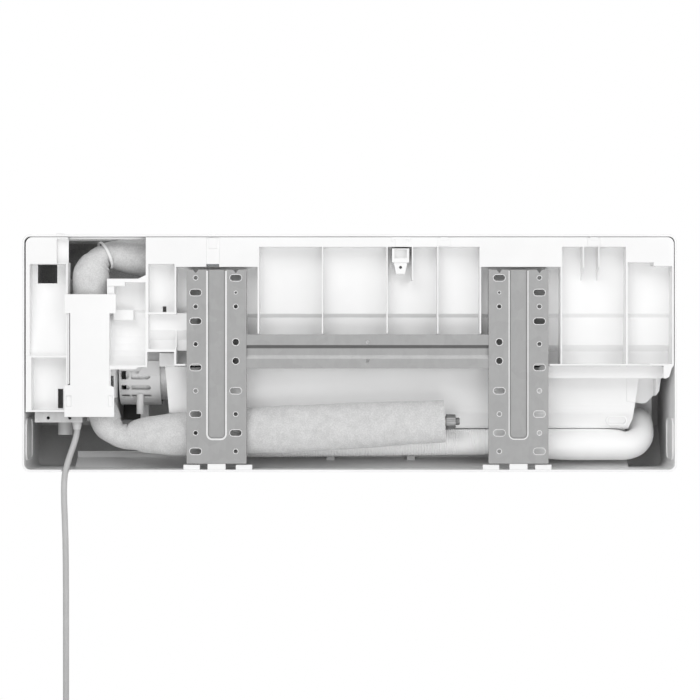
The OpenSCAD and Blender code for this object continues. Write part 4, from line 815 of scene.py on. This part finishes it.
screws = joinPieces("screws", [piece for x in screwSize["places"] for piece in crossScrew(x)])
placeOn(smoothByAngle(screws, 45), "unit", "steel", steelRod, "casing_screws")

nutSize = {
    "z": -85.8, "long": 12, "collar": 4, "stopper": 5, "rings": 3, "firstRing": 13.2, "ringPitch": 1.2,
    "ringWire": 0.4, "edge": 0.5, "overlap": (0.6, 0.2),
    "collarWide": (0.36, 0.4), "capWide": (0.3, 0.26), "ringWide": 0.285, "bodyEdge": 0.05,
    "gasNut": {"x": 96.2, "y": 15.0, "across": 15.5},
    "liquidNut": {"x": 94.0, "y": 30.0, "across": 10.5},
}


def flareNut(name, node):
    s = nutSize
    x, y, z, across = s[name]["x"], s[name]["y"], s["z"], s[name]["across"]
    body = rod(name, (x, y, z), (x + s["long"], y, z), across / 2 / math.cos(math.pi / 6), 6)
    bevelEdges(body, across * s["bodyEdge"], 2)
    narrow, wide = (across * part for part in s["collarWide"])
    collar = rod("collar", (x - s["collar"], y, z), (x + s["overlap"][0], y, z), narrow, 32, wide)
    first, last = (across * part for part in s["capWide"])
    capEnd = x + s["long"] + s["stopper"]
    cap = rod("cap", (x + s["long"] - s["overlap"][1], y, z), (capEnd, y, z), first, 32, last)
    bevelEdges(cap, s["edge"], 2)
    nut = joinPieces(name, [body, collar, cap])
    for k in range(s["rings"]):  # turned rings on the stopper
        deselectAll()
        bpy.ops.mesh.primitive_torus_add(major_radius=across * s["ringWide"] / 1000,
            minor_radius=s["ringWire"] / 1000, major_segments=28, minor_segments=6,
            location=mm(x + s["firstRing"] + k * s["ringPitch"], y, z), rotation=(0, math.pi / 2, 0))
        nut = joinPieces(name, [nut, settle(bpy.context.object)])
    return placeOn(smoothByAngle(nut, 40), "unit", "nut_brass", nutGrey, node)


flareNut("gasNut", "gas_nut")
flareNut("liquidNut", "liquid_nut")

gripSize = {"top": 47, "half": 13.5, "ribs": 5, "pitch": 4.2, "reach": 7.2, "narrowing": 0.7, "flank": 15,
    "flankStart": 5, "flankSlope": 0.19, "proud": 0.1, "thick": 0.7, "tall": 1.8, "edge": 0.6}


def plugGrip():
    s = gripSize
    middle, face, top = leadTail[-1]
    ribs = []
    for k in range(s["ribs"]):
        z = top - s["top"] + k * s["pitch"]
        reach = s["reach"] - k * s["narrowing"]
        flank = s["flank"] - (k * s["pitch"] + s["flankStart"]) * s["flankSlope"]
        for side in (-1, 1):
            y = face + side * (min(s["half"], flank) + s["proud"])
            low, high = (middle - reach, y - s["thick"], z), (middle + reach, y + s["thick"], z + s["tall"])
            ribs.append(box("rib", low, high, s["edge"], 2))
    return smoothByAngle(joinPieces("plugGrip", ribs), 50)


placeOn(plugGrip(), "unit", "lead", plugGrey)
print("screws, nuts and grip made")


# Stage, lamps and world

stageSize = {"wide": 3.2, "deep": 2.1, "drop": 0.004, "middle": (-0.02, -0.15), "levels": (0.93, 0.94)}
deselectAll()
bpy.ops.mesh.primitive_plane_add(size=1, location=(*stageSize["middle"], modelBox[0].z - stageSize["drop"]),
    scale=(stageSize["wide"], stageSize["deep"], 1))
floor = settle(bpy.context.object)
floor.name = "floor"
floorPaint, floorTree, floorShader, floorPlace = newFinish("floorPaint", 0.9, 0, 0.2)
floorCloud = addNoise(floorTree, floorPlace, 3, 2)
twoTone(floorTree, floorShader, floorCloud, *[grey(level) for level in stageSize["levels"]])
floor.data.materials.append(floorPaint)

# Name, place, width and power
lampSize = [
    ("keyLamp", (-1.1, -3.3, 2.5), 2.4, 54),
    ("fillLamp", (1.9, -3.0, 0.7), 2.2, 25),
    ("lowLamp", (-0.1, -2.9, -1.9), 2.2, 41),
    ("roomLamp", (0.8, 3.0, 2.2), 2.6, 62),
]
lampTarget = Vector((0, 0.08, 0))
for name, place, size, power in lampSize:
    deselectAll()
    bpy.ops.object.light_add(type="AREA", location=place)
    lamp = bpy.context.object
    lamp.name = name
    lamp.data.size = size
    lamp.data.energy = power
    lamp.rotation_euler = (lampTarget - Vector(place)).to_track_quat("-Z", "Y").to_euler()

worldLight = {"seen": 1.0, "ambient": 0.46}
world = bpy.data.worlds.new("studio")
scene.world = world
world.use_nodes = True
sky = world.node_tree
backdrop = sky.nodes["Background"]
backdrop.inputs["Color"].default_value = (1, 1, 1, 1)
backdrop.inputs["Strength"].default_value = worldLight["seen"]
ambient = sky.nodes.new("ShaderNodeBackground")
ambient.inputs["Color"].default_value = (1, 1, 1, 1)
ambient.inputs["Strength"].default_value = worldLight["ambient"]
path = sky.nodes.new("ShaderNodeLightPath")
seen = sky.nodes.new("ShaderNodeMath")
seen.operation = "MAXIMUM"
glossy = sky.nodes.new("ShaderNodeMath")
glossy.operation = "MAXIMUM"
sky.links.new(path.outputs["Is Camera Ray"], seen.inputs[0])
sky.links.new(path.outputs["Is Transmission Ray"], seen.inputs[1])
sky.links.new(seen.outputs["Value"], glossy.inputs[0])
sky.links.new(path.outputs["Is Glossy Ray"], glossy.inputs[1])
choose = sky.nodes.new("ShaderNodeMixShader")
sky.links.new(glossy.outputs["Value"], choose.inputs["Fac"])
sky.links.new(ambient.outputs["Background"], choose.inputs[1])
sky.links.new(backdrop.outputs["Background"], choose.inputs[2])
sky.links.new(choose.outputs["Shader"], sky.nodes["World Output"].inputs["Surface"])
scene.view_settings.view_transform = "Standard"
print("stage lit")
